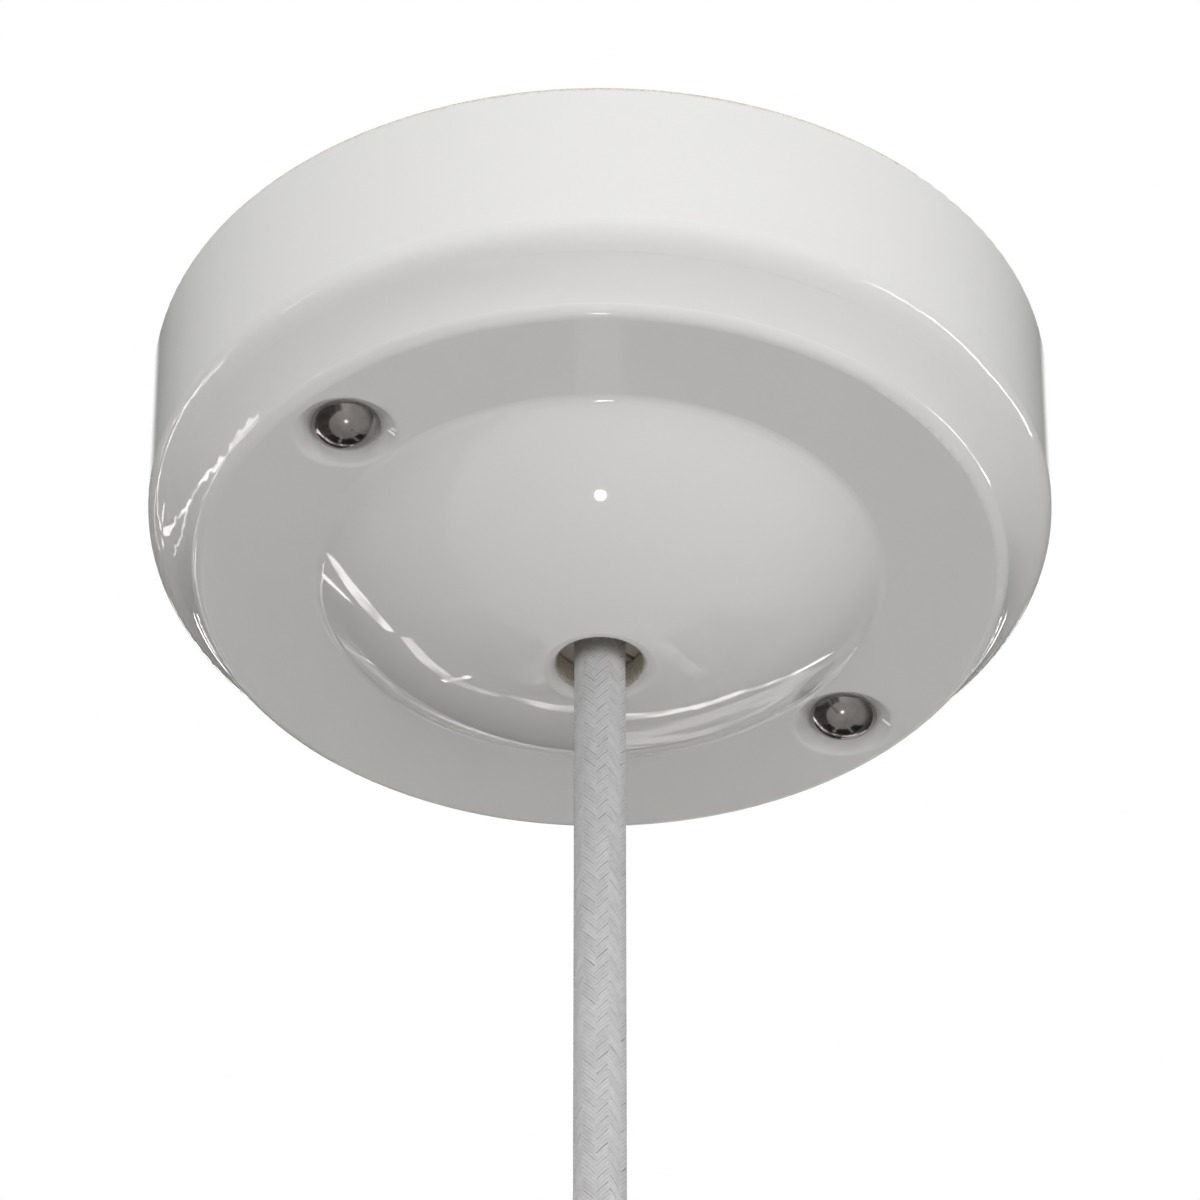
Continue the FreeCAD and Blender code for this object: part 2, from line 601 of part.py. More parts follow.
def makeBracket():
    body = newBody("ceiling_bracket")
    strapSketch = newSketch(body, "strap_sketch", "XY_Plane")
    addSlot(strapSketch, "0", "strapHalfRun", "strapEndRadius")
    addFeature(body, "Pad", "strap", strapSketch, "bracketThickness", Reversed=True)
    collarSketch = newSketch(body, "collar_sketch", "XY_Plane")
    for offset in ("fixingOffset", "-fixingOffset"):
        addCircle(collarSketch, offset, "0", "collarRadius")
    addFeature(body, "Pad", "stud_collars", collarSketch, "collarDepth", Reversed=True)
    # an ear at the back carries the earth screw
    earSketch = newSketch(body, "ear_sketch", "XY_Plane")
    addCircle(earSketch, "-earthOffset", "earReach", "earRadius")
    addFeature(body, "Pad", "ear_end", earSketch, "bracketThickness", Reversed=True)
    rootSketch = newSketch(body, "ear_root_sketch", "XY_Plane")
    addOutline(rootSketch, [("-earNear", "0"), ("-earNear", "earReach"), ("-earFar", "earReach"), ("-earFar", "0")])
    addFeature(body, "Pad", "ear_root", rootSketch, "bracketThickness", Reversed=True)
    holes = newSketch(body, "bracket_holes", "XY_Plane")
    for offset in ("fixingOffset", "-fixingOffset"):
        addCircle(holes, offset, "0", "studBore")
    for offset in ("blockScrewOffset", "-blockScrewOffset"):
        addCircle(holes, offset, "0", "blockScrewHole")
    addCircle(holes, "-earthOffset", "earReach", "earthHole")
    for offset in ("slotOffset", "-slotOffset"):
        addSlot(holes, offset, "slotHalfRun", "slotRadius")
    addFeature(body, "Pocket", "holes_through", holes, Type="ThroughAll", Midplane=True)
    pieces["ceiling_bracket"] = body


def makeLockNut(label, alongX):
    # a hexagon with its corners turned off at both faces, and a bore
    blank = doc.addObject("Part::Prism", label + "_hexagon")
    blank.Polygon = 6
    bind(blank, "Circumradius", "lockNutCorner")
    bind(blank, "Height", "lockNutHeight")
    turned = newBody(label + "_turned")
    sketch = newSketch(turned, label + "_outline")
    addOutline(sketch, [("studBore", "0"), ("lockNutEdge", "0"), ("lockNutTurned", "lockNutChamfer"),
                        ("lockNutTurned", "lockNutShoulder"), ("lockNutEdge", "lockNutHeight"),
                        ("studBore", "lockNutHeight")])
    turnProfile(turned, label + "_ring", sketch)
    nut = doc.addObject("Part::Common", label)
    nut.Base = blank
    nut.Tool = turned
    nut.Label = label
    place(nut, alongX, alongZ="-lockNutFoot")
    pieces[label] = nut


def makeDomeNut(label, alongX):
    # a shallow cap on a short collar, with a neck into the porcelain and a blind bore for the stud
    body = newBody(label)
    sketch = newSketch(body, label + "_outline")
    corners = [
        ("studBore", "domeNutNeckHeight"),
        ("domeNutNeckRadius", "domeNutNeckHeight"),
        ("domeNutNeckRadius", "0"),
        ("domeNutRadius", "0"),
        ("domeNutRadius", "-domeNutCollar"),
        ("0", "-domeNutApex"),
        ("0", "-domeNutBoreDepth"),
        ("studBore", "-domeNutBoreDepth"),
    ]
    # the cap is an arc about a point on the axis, from the foot of the collar to the apex
    cap, apex = 4, 5
    points = [FreeCAD.Vector(size(reach), size(height), 0) for reach, height in corners]
    centre = FreeCAD.Vector(0, size("domeNutCentre"), 0)
    foot = points[cap] - centre
    ball = Part.Circle(centre, FreeCAD.Vector(0, 0, 1), size("domeNutBall"))
    for index, start in enumerate(points):
        if index == cap:
            sketch.addGeometry(Part.ArcOfCircle(ball, 1.5 * math.pi, 2 * math.pi + math.atan2(foot.y, foot.x)))
        else:
            sketch.addGeometry(Part.LineSegment(start, points[(index + 1) % len(points)]))
    for index, (reach, height) in enumerate(corners):
        before = (index - 1) % len(corners)
        startPoint = 2 if index == cap else 1
        endPoint = 1 if before == cap else 2
        sketch.addConstraint(Sketcher.Constraint("Coincident", before, endPoint, index, startPoint))
        if index != apex:
            fixPoint(sketch, index, startPoint, reach, height)
    fixPoint(sketch, apex, 1, "0", None)
    fixPoint(sketch, cap, 3, "0", "domeNutCentre")
    turnProfile(body, label + "_turned", sketch)
    place(body, alongX, alongZ="-domeNutDepth")
    pieces[label] = body


def makeWasher(label, bore, radius, thickness, alongX, alongZ, alongY="0"):
    body = turnedPiece(label, [(bore, "0"), (radius, "0"), (radius, thickness), (bore, thickness)])
    place(body, alongX, alongY, alongZ)


def makeFixings():
    for side, alongX in (("left", "-fixingOffset"), ("right", "fixingOffset")):
        stud = turnedPiece("stud_" + side, [
            ("0", "0"), ("studTipRadius", "0"), ("studRadius", "studChamfer"), ("studRadius", "studShoulder"),
            ("studTipRadius", "studLength"), ("0", "studLength")])
        place(stud, alongX, alongZ="-studEndDepth")
        makeWasher("stud_washer_" + side, "studBore", "lockWasherRadius", "lockWasherThickness",
                   alongX, "-lockNutDepth")
        makeLockNut("stud_nut_" + side, alongX)
        makeWasher("nut_washer_" + side, "nutWasherBore", "nutWasherRadius", "nutWasherThickness",
                   alongX, "-domeNutDepth")
        makeDomeNut("dome_nut_" + side, alongX)


# Terminal block

def makeScrew(label, shankRadius, headRadius, shank, length):
    # shank upwards from a plain head, standing on Z
    return turnedPiece(label, [("0", "0"), (shankRadius, "0"), (shankRadius, "-" + shank),
                               (headRadius, "-" + shank), (headRadius, "-" + length), ("0", "-" + length)])


def makeTerminalBlock():
    body = newBody("terminal_block")
    base = newSketch(body, "block_outline", "XY_Plane", "-bracketThickness")
    addOutline(base, [("blockHalfLength", "blockFace"), ("-blockHalfLength", "blockFace"),
                      ("-blockHalfLength", "-blockFace"), ("blockHalfLength", "-blockFace")])
    blockBase = addFeature(body, "Pad", "block_base", base, "blockBase", Reversed=True)
    roundEdges(body, "block_corners", blockBase, cornerEdges(blockBase, "blockHalfLength", "blockFace"),
               "blockCorner")
    poles = ("-polePitch", "0", "polePitch")
    rows = ("-terminalScrewOffset", "terminalScrewOffset")
    towers = newSketch(body, "tower_sketch", "XY_Plane", "-barrelAxisDepth")
    wells = newSketch(body, "well_sketch", "XY_Plane", "-barrelAxisDepth")
    for pole in poles:
        for row in rows:
            addCircle(towers, pole, row, "towerRadius")
            addCircle(wells, pole, row, "wellRadius")
    addFeature(body, "Pad", "screw_towers", towers, "wellLength", Reversed=True)
    addFeature(body, "Pocket", "screw_wells", wells, "wellLength")
    bores = newSketch(body, "bore_sketch", "XZ_Plane")
    for pole in poles:
        addCircle(bores, pole, "-barrelAxisDepth", "barrelHole")
    addFeature(body, "Pocket", "barrel_bores", bores, Type="ThroughAll", Midplane=True)
    screwHoles = newSketch(body, "block_screw_sketch", "XY_Plane")
    for offset in ("blockScrewOffset", "-blockScrewOffset"):
        addCircle(screwHoles, offset, "0", "blockScrewHole")
    addFeature(body, "Pocket", "block_screw_holes", screwHoles, Type="ThroughAll", Midplane=True)
    pieces["terminal_block"] = body


def makeTerminals():
    poles = (("neutral", "-polePitch"), ("earth", "0"), ("live", "polePitch"))
    rows = (("flex", "-terminalScrewOffset"), ("supply", "terminalScrewOffset"))
    for pole, alongX in poles:
        label = "terminal_barrel_" + pole
        body = newBody(label)
        ring = newSketch(body, label + "_ring", "XZ_Plane")
        addCircle(ring, "0", "0", "barrelRadius")
        addCircle(ring, "0", "0", "barrelBore")
        addFeature(body, "Pad", label + "_tube", ring, "barrelLength", Midplane=True)
        holes = newSketch(body, label + "_holes", "XY_Plane")
        for row, alongY in rows:
            addCircle(holes, "0", alongY, "crossHole")
        addFeature(body, "Pocket", label + "_tapped", holes, "barrelRadius")
        place(body, alongX, alongZ="-barrelAxisDepth")
        pieces[label] = body
        for row, alongY in rows:
            screw = makeScrew("terminal_screw_%s_%s" % (pole, row), "terminalScrewRadius",
                              "terminalHeadRadius", "terminalShank", "terminalScrewLength")
            # the supply side of the live and neutral poles is still open, with its screws backed out
            waiting = row == "supply" and pole != "earth"
            place(screw, alongX, alongY, "-openTipDepth" if waiting else "-screwTipDepth")
    for side, alongX in (("left", "-blockScrewOffset"), ("right", "blockScrewOffset")):
        screw = makeScrew("block_screw_" + side, "blockScrewRadius", "panHeadRadius",
                          "blockScrewShank", "blockScrewLength")
        place(screw, alongX, alongZ="-blockScrewInset")


# Earth bonding

def makeEarthBonding():
    # a flat eye under the screw, with a crimped sleeve for the lead
    tag = newBody("earth_tag")
    eye = newSketch(tag, "tag_eye_sketch", "XY_Plane")
    addCircle(eye, "0", "0", "tagRadius")
    addFeature(tag, "Pad", "tag_eye", eye, "tagThickness")
    neck = newSketch(tag, "tag_neck_sketch", "XY_Plane")
    addOutline(neck, [("tagHalfNeck", "0"), ("tagHalfNeck", "tagNeckEnd"),
                      ("-tagHalfNeck", "tagNeckEnd"), ("-tagHalfNeck", "0")])
    addFeature(tag, "Pad", "tag_neck", neck, "tagThickness")
    sleeve = newSketch(tag, "tag_sleeve_sketch", "XZ_Plane", "-tagSleeveEnd")
    addCircle(sleeve, "0", "-tagSleeveDrop", "tagSleeveRadius")
    addFeature(tag, "Pad", "tag_sleeve", sleeve, "tagSleeveLength")
    bore = newSketch(tag, "tag_bore_sketch", "XZ_Plane", "-tagSleeveEnd")
    addCircle(bore, "0", "-tagSleeveDrop", "tagSleeveBore")
    addFeature(tag, "Pocket", "tag_bore", bore, "tagSleeveGrip", Reversed=True)
    hole = newSketch(tag, "tag_hole_sketch", "XY_Plane")
    addCircle(hole, "0", "0", "earthEyeRadius")
    addFeature(tag, "Pocket", "tag_hole", hole, Type="ThroughAll", Midplane=True)
    turn(tag, FreeCAD.Vector(0, 0, 1), -earthRoute["tagTurn"])
    place(tag, "-earthOffset", "earReach", "-earthTagDepth")
    pieces["earth_tag"] = tag
    makeWasher("earth_washer", "earthEyeRadius", "earthWasherRadius", "earthWasherThickness",
               "-earthOffset", "-earthHeadDepth", "earReach")
    screw = makeScrew("earth_screw", "earthScrewRadius", "earthHeadRadius", "earthShank", "earthScrewLength")
    place(screw, "-earthOffset", "earReach", "-studInset")


# Flex grip inside the dome

def makeCordGrip():
    grooveHeights = ("gripToothHeight", "gripToothSecond", "gripToothThird", "gripToothFourth")
    for label, degrees in (("cord_grip_front", 0), ("cord_grip_back", 180)):
        body = newBody(label)
        block = newSketch(body, label + "_block_sketch", "XY_Plane", "gripFlangeHeight")
        addOutline(block, [("gripHalfLength", "gripFace"), ("-gripHalfLength", "gripFace"),
                           ("-gripHalfLength", "-gripFace"), ("gripHalfLength", "-gripFace")])
        blank = addFeature(body, "Pad", label + "_block", block, "gripBlockHeight")
        roundEdges(body, label + "_corners", blank, cornerEdges(blank, "gripHalfLength", "gripFace"), "gripCorner")
        flange = newSketch(body, label + "_flange_sketch", "XY_Plane")
        addCircle(flange, "0", "0", "gripFlangeRadius")
        addFeature(body, "Pad", label + "_flange", flange, "gripFlangeHeight")
        bore = newSketch(body, label + "_bore_sketch", "XY_Plane")
        addCircle(bore, "0", "0", "gripBore")
        addFeature(body, "Pocket", label + "_bore", bore, Type="ThroughAll", Midplane=True)
        # rings cut into the bore leave teeth that hold the flex
        for number, height in enumerate(grooveHeights):
            groove = newSketch(body, "%s_groove_sketch_%d" % (label, number), "XY_Plane", height)
            addCircle(groove, "0", "0", "gripValley")
            addFeature(body, "Pocket", "%s_groove_%d" % (label, number), groove,
                       "gripToothHeight", Reversed=True)
        holes = newSketch(body, label + "_screw_sketch", "XZ_Plane")
        for offset in ("-gripScrewOffset", "gripScrewOffset"):
            addCircle(holes, offset, "gripScrewRise", "gripScrewHole")
        addFeature(body, "Pocket", label + "_screw_holes", holes, Type="ThroughAll", Midplane=True)
        # the other half of the blank, and half of the gap, are cut away
        half = newSketch(body, label + "_half_sketch", "XY_Plane")
        addOutline(half, [("gripFlangeRadius", "-gripHalfGap"), ("gripFlangeRadius", "gripFlangeRadius"),
                          ("-gripFlangeRadius", "gripFlangeRadius"), ("-gripFlangeRadius", "-gripHalfGap")])
        addFeature(body, "Pocket", label + "_half", half, Type="ThroughAll", Midplane=True)
        turn(body, FreeCAD.Vector(0, 0, 1), degrees)
        place(body, alongZ="-gripSeatDepth")
        pieces[label] = body
    for side, alongX in (("left", "-gripScrewOffset"), ("right", "gripScrewOffset")):
        screw = makeScrew("grip_screw_" + side, "blockScrewRadius", "panHeadRadius",
                          "gripScrewShank", "gripScrewLength")
        # the head lies against the front half
        turn(screw, FreeCAD.Vector(1, 0, 0), -90)
        place(screw, alongX, "gripScrewTip", "-gripScrewDepth")


# Flex, cores and leads

def tubePath(points):
    # straight runs joined by tangent arcs, each as large as its two runs allow
    share = 0.45
    edges, radii, start = [], [], points[0]
    for index in range(1, len(points) - 1):
        corner = points[index]
        back, ahead = points[index - 1] - corner, points[index + 1] - corner
        halfTurn = (math.pi - back.getAngle(ahead)) / 2
        cut = share * min(back.Length, ahead.Length)
        radii.append(cut / math.tan(halfTurn))
        back.normalize()
        ahead.normalize()
        enter, leave = corner + back * cut, corner + ahead * cut
        inward = back + ahead
        inward.normalize()
        middle = corner + inward * (radii[-1] / math.cos(halfTurn) - radii[-1])
        edges.append(Part.LineSegment(start, enter).toShape())
        edges.append(Part.Arc(enter, middle, leave).toShape())
        start = leave
    edges.append(Part.LineSegment(start, points[-1]).toShape())
    return Part.Wire(edges), radii


def makeTube(label, points, radius):
    path, radii = tubePath(points)
    section = Part.Circle(points[0], points[1] - points[0], size(radius))
    tube = path.makePipeShell([Part.Wire([section.toShape()])], True, False)
    piece = doc.addObject("Part::Feature", label)
    piece.Label = label
    piece.Shape = tube
    pieces[label] = piece
    swept = math.pi * size(radius) ** 2 * path.Length
    print(label, "radii", [round(bend, 1) for bend in radii], "volume to section", round(tube.Volume / swept, 4))


def corePlaces():
    # the three cores lie in a ring inside the flex; the earth core lies nearest the front
    places = {}
    for pole, degrees in (("neutral", 150), ("earth", 270), ("live", 30)):
        angle = math.radians(degrees)
        places[pole] = (size("coreCircleRadius") * math.cos(angle), size("coreCircleRadius") * math.sin(angle))
    return places


def makeFlex():
    flex = doc.addObject("Part::Cylinder", "flex_cord")
    flex.Label = "flex_cord"
    bind(flex, "Radius", "flexRadius")
    bind(flex, "Height", "flexLength")
    place(flex, alongZ="-flexEndDepth")
    pieces["flex_cord"] = flex


def makeUpperCores():
    # each core rises from the flex, runs out to the front, turns back and enters its terminal
    top, wire = -size("flexTopDepth"), -size("wireDepth")
    riseHeight, lowHeight = top + upperRoute["rise"], top + upperRoute["low"]
    front = -size("coreEnd") - upperRoute["reach"]
    for pole, (startX, startY) in corePlaces().items():
        poleX = {"neutral": -size("polePitch"), "earth": 0.0, "live": size("polePitch")}[pole]
        makeTube("core_" + pole, [
            FreeCAD.Vector(startX, startY, top),
            FreeCAD.Vector(startX, startY, riseHeight),
            FreeCAD.Vector(poleX, front + upperRoute["fan"], lowHeight),
            FreeCAD.Vector(poleX, front, lowHeight),
            FreeCAD.Vector(poleX, front, wire),
            FreeCAD.Vector(poleX, -size("coreEnd"), wire)], "coreRadius")
        makeFerrule("ferrule_" + pole, poleX, "-ferruleEnd")


def makeFerrule(label, alongX, alongY):
    # lies in the barrel's bore, from the end of the insulation inwards
    ferrule = doc.addObject("Part::Cylinder", label)
    ferrule.Label = label
    bind(ferrule, "Radius", "ferruleRadius")
    bind(ferrule, "Height", "ferruleLength")
    turn(ferrule, FreeCAD.Vector(1, 0, 0), 90)
    ferrule.Placement.Base = FreeCAD.Vector(alongX, 0, 0)
    place(ferrule, alongY=alongY, alongZ="-wireDepth")
    pieces[label] = ferrule


def makeEarthLead():
    # from the earth pole's supply side round to the tag on the bracket's ear
    tagZ, wire, mouth = -size("tagSleeveDepth"), -size("wireDepth"), size("coreEnd")
    angle = math.radians(earthRoute["tagTurn"])
    eye = FreeCAD.Vector(-size("earthOffset"), size("earReach"), tagZ)
    away = FreeCAD.Vector(math.sin(angle), math.cos(angle), 0)
    makeTube("earth_lead", [
        FreeCAD.Vector(0, mouth, wire),
        FreeCAD.Vector(0, mouth + earthRoute["reach"], wire),
        eye + away * earthRoute["crest"],
        eye + away * (size("tagSleeveEnd") - size("tagSleeveGrip"))], "coreRadius")
    makeFerrule("ferrule_bond", 0.0, "coreEnd")


# Lower end of the flex

def makeLampGrip():
    grip = turnedPiece("lamp_grip", [
        ("gripBore", "-lampGripDepth"), ("lampCollarEdge", "-lampGripDepth"),
        ("lampCollarRadius", "-lampCollarTop"), ("lampCollarRadius", "-lampCollarFoot"),
        ("lampCollarEdge", "-lampShoulderDepth"), ("lampThreadRadius", "-lampShoulderDepth"),
        ("lampThreadRadius", "-lampThreadFoot"), ("lampThreadTip", "-lampEndDepth"),
        ("gripBore", "-lampEndDepth")])
    hole = newSketch(grip, "lamp_screw_sketch", "XZ_Plane")
    addCircle(hole, "0", "-lampScrewDepth", "lampScrewHole")
    addFeature(grip, "Pocket", "lamp_screw_hole", hole, "lampCollarRadius", Reversed=True)
    screw = doc.addObject("Part::Cylinder", "lamp_grip_screw")
    screw.Label = "lamp_grip_screw"
    bind(screw, "Radius", "lampScrewRadius")
    bind(screw, "Height", "lampScrewLength")
    turn(screw, FreeCAD.Vector(1, 0, 0), 90)
    place(screw, alongY="-gripBore", alongZ="-lampScrewDepth")
    pieces["lamp_grip_screw"] = screw


def makeLowerCores():
    # the stripped end: three cores that fan out a little, each with its ferrule
    end = -size("flexEndDepth")
    for pole, (startX, startY) in corePlaces().items():
        straight = FreeCAD.Vector(startX, startY, end - lowerRoute["straight"])
        spread = FreeCAD.Vector(startX * lowerRoute["fan"], startY * lowerRoute["fan"], end - lowerRoute["end"])
        makeTube("lamp_core_" + pole, [FreeCAD.Vector(startX, startY, end), straight, spread], "coreRadius")
        way = spread - straight
        way.normalize()
        ferrule = doc.addObject("Part::Cylinder", "lamp_ferrule_" + pole)
        ferrule.Label = "lamp_ferrule_" + pole
        bind(ferrule, "Radius", "ferruleRadius")
        bind(ferrule, "Height", "lowerFerruleLength")
        ferrule.Placement = FreeCAD.Placement(spread, FreeCAD.Rotation(FreeCAD.Vector(0, 0, 1), way))
        pieces["lamp_ferrule_" + pole] = ferrule


makeRoseBody()
makeBracket()
makeFixings()
makeTerminalBlock()
makeTerminals()
makeEarthBonding()
makeCordGrip()
makeFlex()
makeUpperCores()
makeEarthLead()
makeLampGrip()
makeLowerCores()
doc.recompute()

# Every object has to be sound before anything is written
for item in doc.Objects:
    if "Invalid" in item.State or "Error" in item.State:
        raise RuntimeError("%s failed: %s" % (item.Name, item.State))
for label, piece in pieces.items():
    shape = piece.Shape
    if shape.isNull() or not shape.isValid() or not shape.Solids:
        raise RuntimeError("%s has no sound solid" % label)

os.makedirs("parts", exist_ok=True)
for label, piece in pieces.items():
    piece.Shape.exportStep("parts/%s.step" % label)
print(len(pieces), "pieces written")
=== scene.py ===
import json
import math

import bmesh
import bpy
import numpy as np
from mathutils import Matrix, Vector


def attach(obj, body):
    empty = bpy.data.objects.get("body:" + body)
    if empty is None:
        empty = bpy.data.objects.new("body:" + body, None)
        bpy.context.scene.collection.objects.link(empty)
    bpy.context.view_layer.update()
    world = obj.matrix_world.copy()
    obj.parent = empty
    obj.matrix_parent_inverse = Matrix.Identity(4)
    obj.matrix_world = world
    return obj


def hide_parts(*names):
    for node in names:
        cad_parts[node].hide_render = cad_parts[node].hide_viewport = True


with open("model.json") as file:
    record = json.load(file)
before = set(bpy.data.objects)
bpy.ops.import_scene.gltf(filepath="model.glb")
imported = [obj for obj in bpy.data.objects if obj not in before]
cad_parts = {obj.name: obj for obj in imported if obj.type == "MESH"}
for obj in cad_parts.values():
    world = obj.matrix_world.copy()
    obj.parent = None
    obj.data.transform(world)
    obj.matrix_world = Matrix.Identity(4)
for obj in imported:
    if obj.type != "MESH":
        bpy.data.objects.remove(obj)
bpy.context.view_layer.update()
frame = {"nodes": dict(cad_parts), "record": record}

nodes = frame["nodes"]
scene = bpy.context.scene
scene.view_settings.view_transform = "Standard"


def towards(bearing, height):
    # unit direction, bearing from +X towards +Y, height above the horizon, in degrees
    turn, rise = math.radians(bearing), math.radians(height)
    return Vector((math.cos(turn) * math.cos(rise), math.sin(turn) * math.cos(rise), math.sin(rise)))


# camera below the rose, looking up at it
photoView = {
    "place": (-0.5506, -0.5967, -0.6994),
    "bearing": 47.3,
    "height": 39.23,
    "lens": 238.6,        # in millimetres, like the width of the picture
    "picture": 36.0,
    "nearest": 0.01,
}


def makeCamera():
    data = bpy.data.cameras.new("photoCamera")
    data.sensor_fit = "HORIZONTAL"
    data.sensor_width = photoView["picture"]
    data.lens = photoView["lens"]
    data.clip_start = photoView["nearest"]
    camera = bpy.data.objects.new("photoCamera", data)
    look = towards(photoView["bearing"], photoView["height"])
    camera.location = photoView["place"]
    camera.rotation_euler = look.to_track_quat("-Z", "Y").to_euler()
    scene.collection.objects.link(camera)
    scene.camera = camera


makeCamera()
print("camera set")


# helpers for node materials

def addNode(tree, kind, inputs=None, **settings):
    made = tree.nodes.new(kind)
    for name, value in settings.items():
        setattr(made, name, value)
    for name, value in (inputs or {}).items():
        if isinstance(value, bpy.types.NodeSocket):
            tree.links.new(value, made.inputs[name])
        else:
            made.inputs[name].default_value = value
    return made


def newFinish(name, roughness, metallic=0.0, **constants):
    # a material with one principled shader, the constants set on its own sockets
    finish = bpy.data.materials.new(name)
    finish.use_nodes = True
    tree = finish.node_tree
    tree.nodes.clear()
    shader = addNode(tree, "ShaderNodeBsdfPrincipled", {"Roughness": roughness, "Metallic": metallic})
    for socket, value in constants.items():
        shader.inputs[socket.replace("_", " ")].default_value = value
    out = addNode(tree, "ShaderNodeOutputMaterial")
    tree.links.new(shader.outputs["BSDF"], out.inputs["Surface"])
    return finish, tree, shader


def placeOf(tree):
    return addNode(tree, "ShaderNodeTexCoord").outputs["Object"]


def noiseOf(tree, place, scale, detail=3.0, rough=0.5):
    # detail and rough say how much fine grain lies over the coarse one
    made = addNode(tree, "ShaderNodeTexNoise", {"Vector": place, "Scale": scale, "Detail": detail,
                                                "Roughness": rough})
    return made.outputs["Fac"]


def mathOf(tree, operation, first, second=0.5, third=0.5, clamp=False):
    made = addNode(tree, "ShaderNodeMath", {0: first, 1: second, 2: third},
                   operation=operation, use_clamp=clamp)
    return made.outputs[0]


def rampOf(tree, value, low, high, toLow=0.0, toHigh=1.0, smooth=True):
    # from toLow to toHigh while the value goes from low to high
    made = addNode(tree, "ShaderNodeMapRange", {"Value": value, "From Min": low, "From Max": high,
                                                "To Min": toLow, "To Max": toHigh},
                   interpolation_type="SMOOTHSTEP" if smooth else "LINEAR")
    return made.outputs["Result"]


def mixOf(tree, share, first, second):
    def colour(value):
        return value if isinstance(value, bpy.types.NodeSocket) else (*value, 1.0)
    made = addNode(tree, "ShaderNodeMix", {0: share, 6: colour(first), 7: colour(second)}, data_type="RGBA")
    return made.outputs[2]


def bumpOf(tree, height, depth, after=None):
    # depth is the relief in metres where height goes from 0 to 1
    inputs = {"Height": height, "Distance": depth, "Strength": 1.0}
    if after is not None:
        inputs["Normal"] = after
    return addNode(tree, "ShaderNodeBump", inputs).outputs["Normal"]


def dress(piece, finish):
    piece.data.materials.clear()
    piece.data.materials.append(finish)


def linkMesh(name, corners, faces, smooth=True):
    mesh = bpy.data.meshes.new(name)
    mesh.from_pydata(corners, [], faces)
    mesh.update()
    if smooth:
        mesh.polygons.foreach_set("use_smooth", [True] * len(mesh.polygons))
    piece = bpy.data.objects.new(name, mesh)
    scene.collection.objects.link(piece)
    return piece


# braided flex

flex = {
    "route": [(0, 0, -0.0295), (0, 0, -0.0893), (0, 0, -0.157)],
    "routeSteps": 24,          # of the smooth line, between two points
    "diameter": 0.0068,
    "length": 0.1275,
    "exit": (0, 0, -0.0484),   # lower edge of the hole
    "carriers": 12,            # turning each way
    "lead": 0.0240,            # length of one full turn of a carrier
    "yarns": 3,                # side by side in a carrier
    "step": 0.00043,           # between two rows of the mesh
    "strand": 0.000046,        # thickness of a carrier
    "bulge": 0.00001,          # a carrier is thinner at its edges
    "crown": 0.000022,         # roundness of each yarn
    "cover": 1.15,             # share of the room that a carrier fills
    "edge": 0.8,               # the underside's edge, as a share of half the width
    "flatten": 0.5,            # makes the weave's wave flat on top
    "slack": 0.00001,          # how far a carrier strays inwards
    "strays": 60,              # points of that straying along the flex
    "core": 20,                # sides of the tube under the braid
    "coreDeep": 1.9,           # how far it lies inside, in thicknesses of a carrier
    "seed": 11,
    "colour": (0.67, 0.66, 0.668),
    "shadow": (0.50, 0.495, 0.50),
    "holeShade": (0.30, 0.29, 0.28),   # painted shade: darker where the flex goes up into the hole
}


def followRoute(name, points):
    # the points of the route's smooth line
    curve = bpy.data.curves.new(name, "CURVE")
    curve.dimensions = "3D"
    spline = curve.splines.new("NURBS")
    spline.points.add(len(points) - 1)
    for point, place in zip(spline.points, points):
        point.co = (*place, 1.0)
    spline.order_u = 3
    spline.use_endpoint_u = True
    spline.resolution_u = flex["routeSteps"]
    holder = bpy.data.objects.new(name, curve)
    scene.collection.objects.link(holder)
    line = bpy.data.meshes.new_from_object(holder)
    places = np.array([vertex.co[:] for vertex in line.vertices])
    bpy.data.objects.remove(holder)
    bpy.data.meshes.remove(line)
    return places


def railsAlong(places, step):
    # even stations on the line, with two directions square to it at each
    run = np.concatenate([[0.0], np.cumsum(np.linalg.norm(np.diff(places, axis=0), axis=1))])
    along = np.linspace(0.0, run[-1], int(run[-1] / step) + 1)
    centre = np.stack([np.interp(along, run, places[:, axis]) for axis in range(3)], axis=1)
    ahead = np.gradient(centre, axis=0)
    ahead /= np.linalg.norm(ahead, axis=1)[:, None]
    side = np.array([1.0, 0.0, 0.0]) - ahead * ahead[:, :1]
    side /= np.linalg.norm(side, axis=1)[:, None]
    return along, centre, side, np.cross(ahead, side)


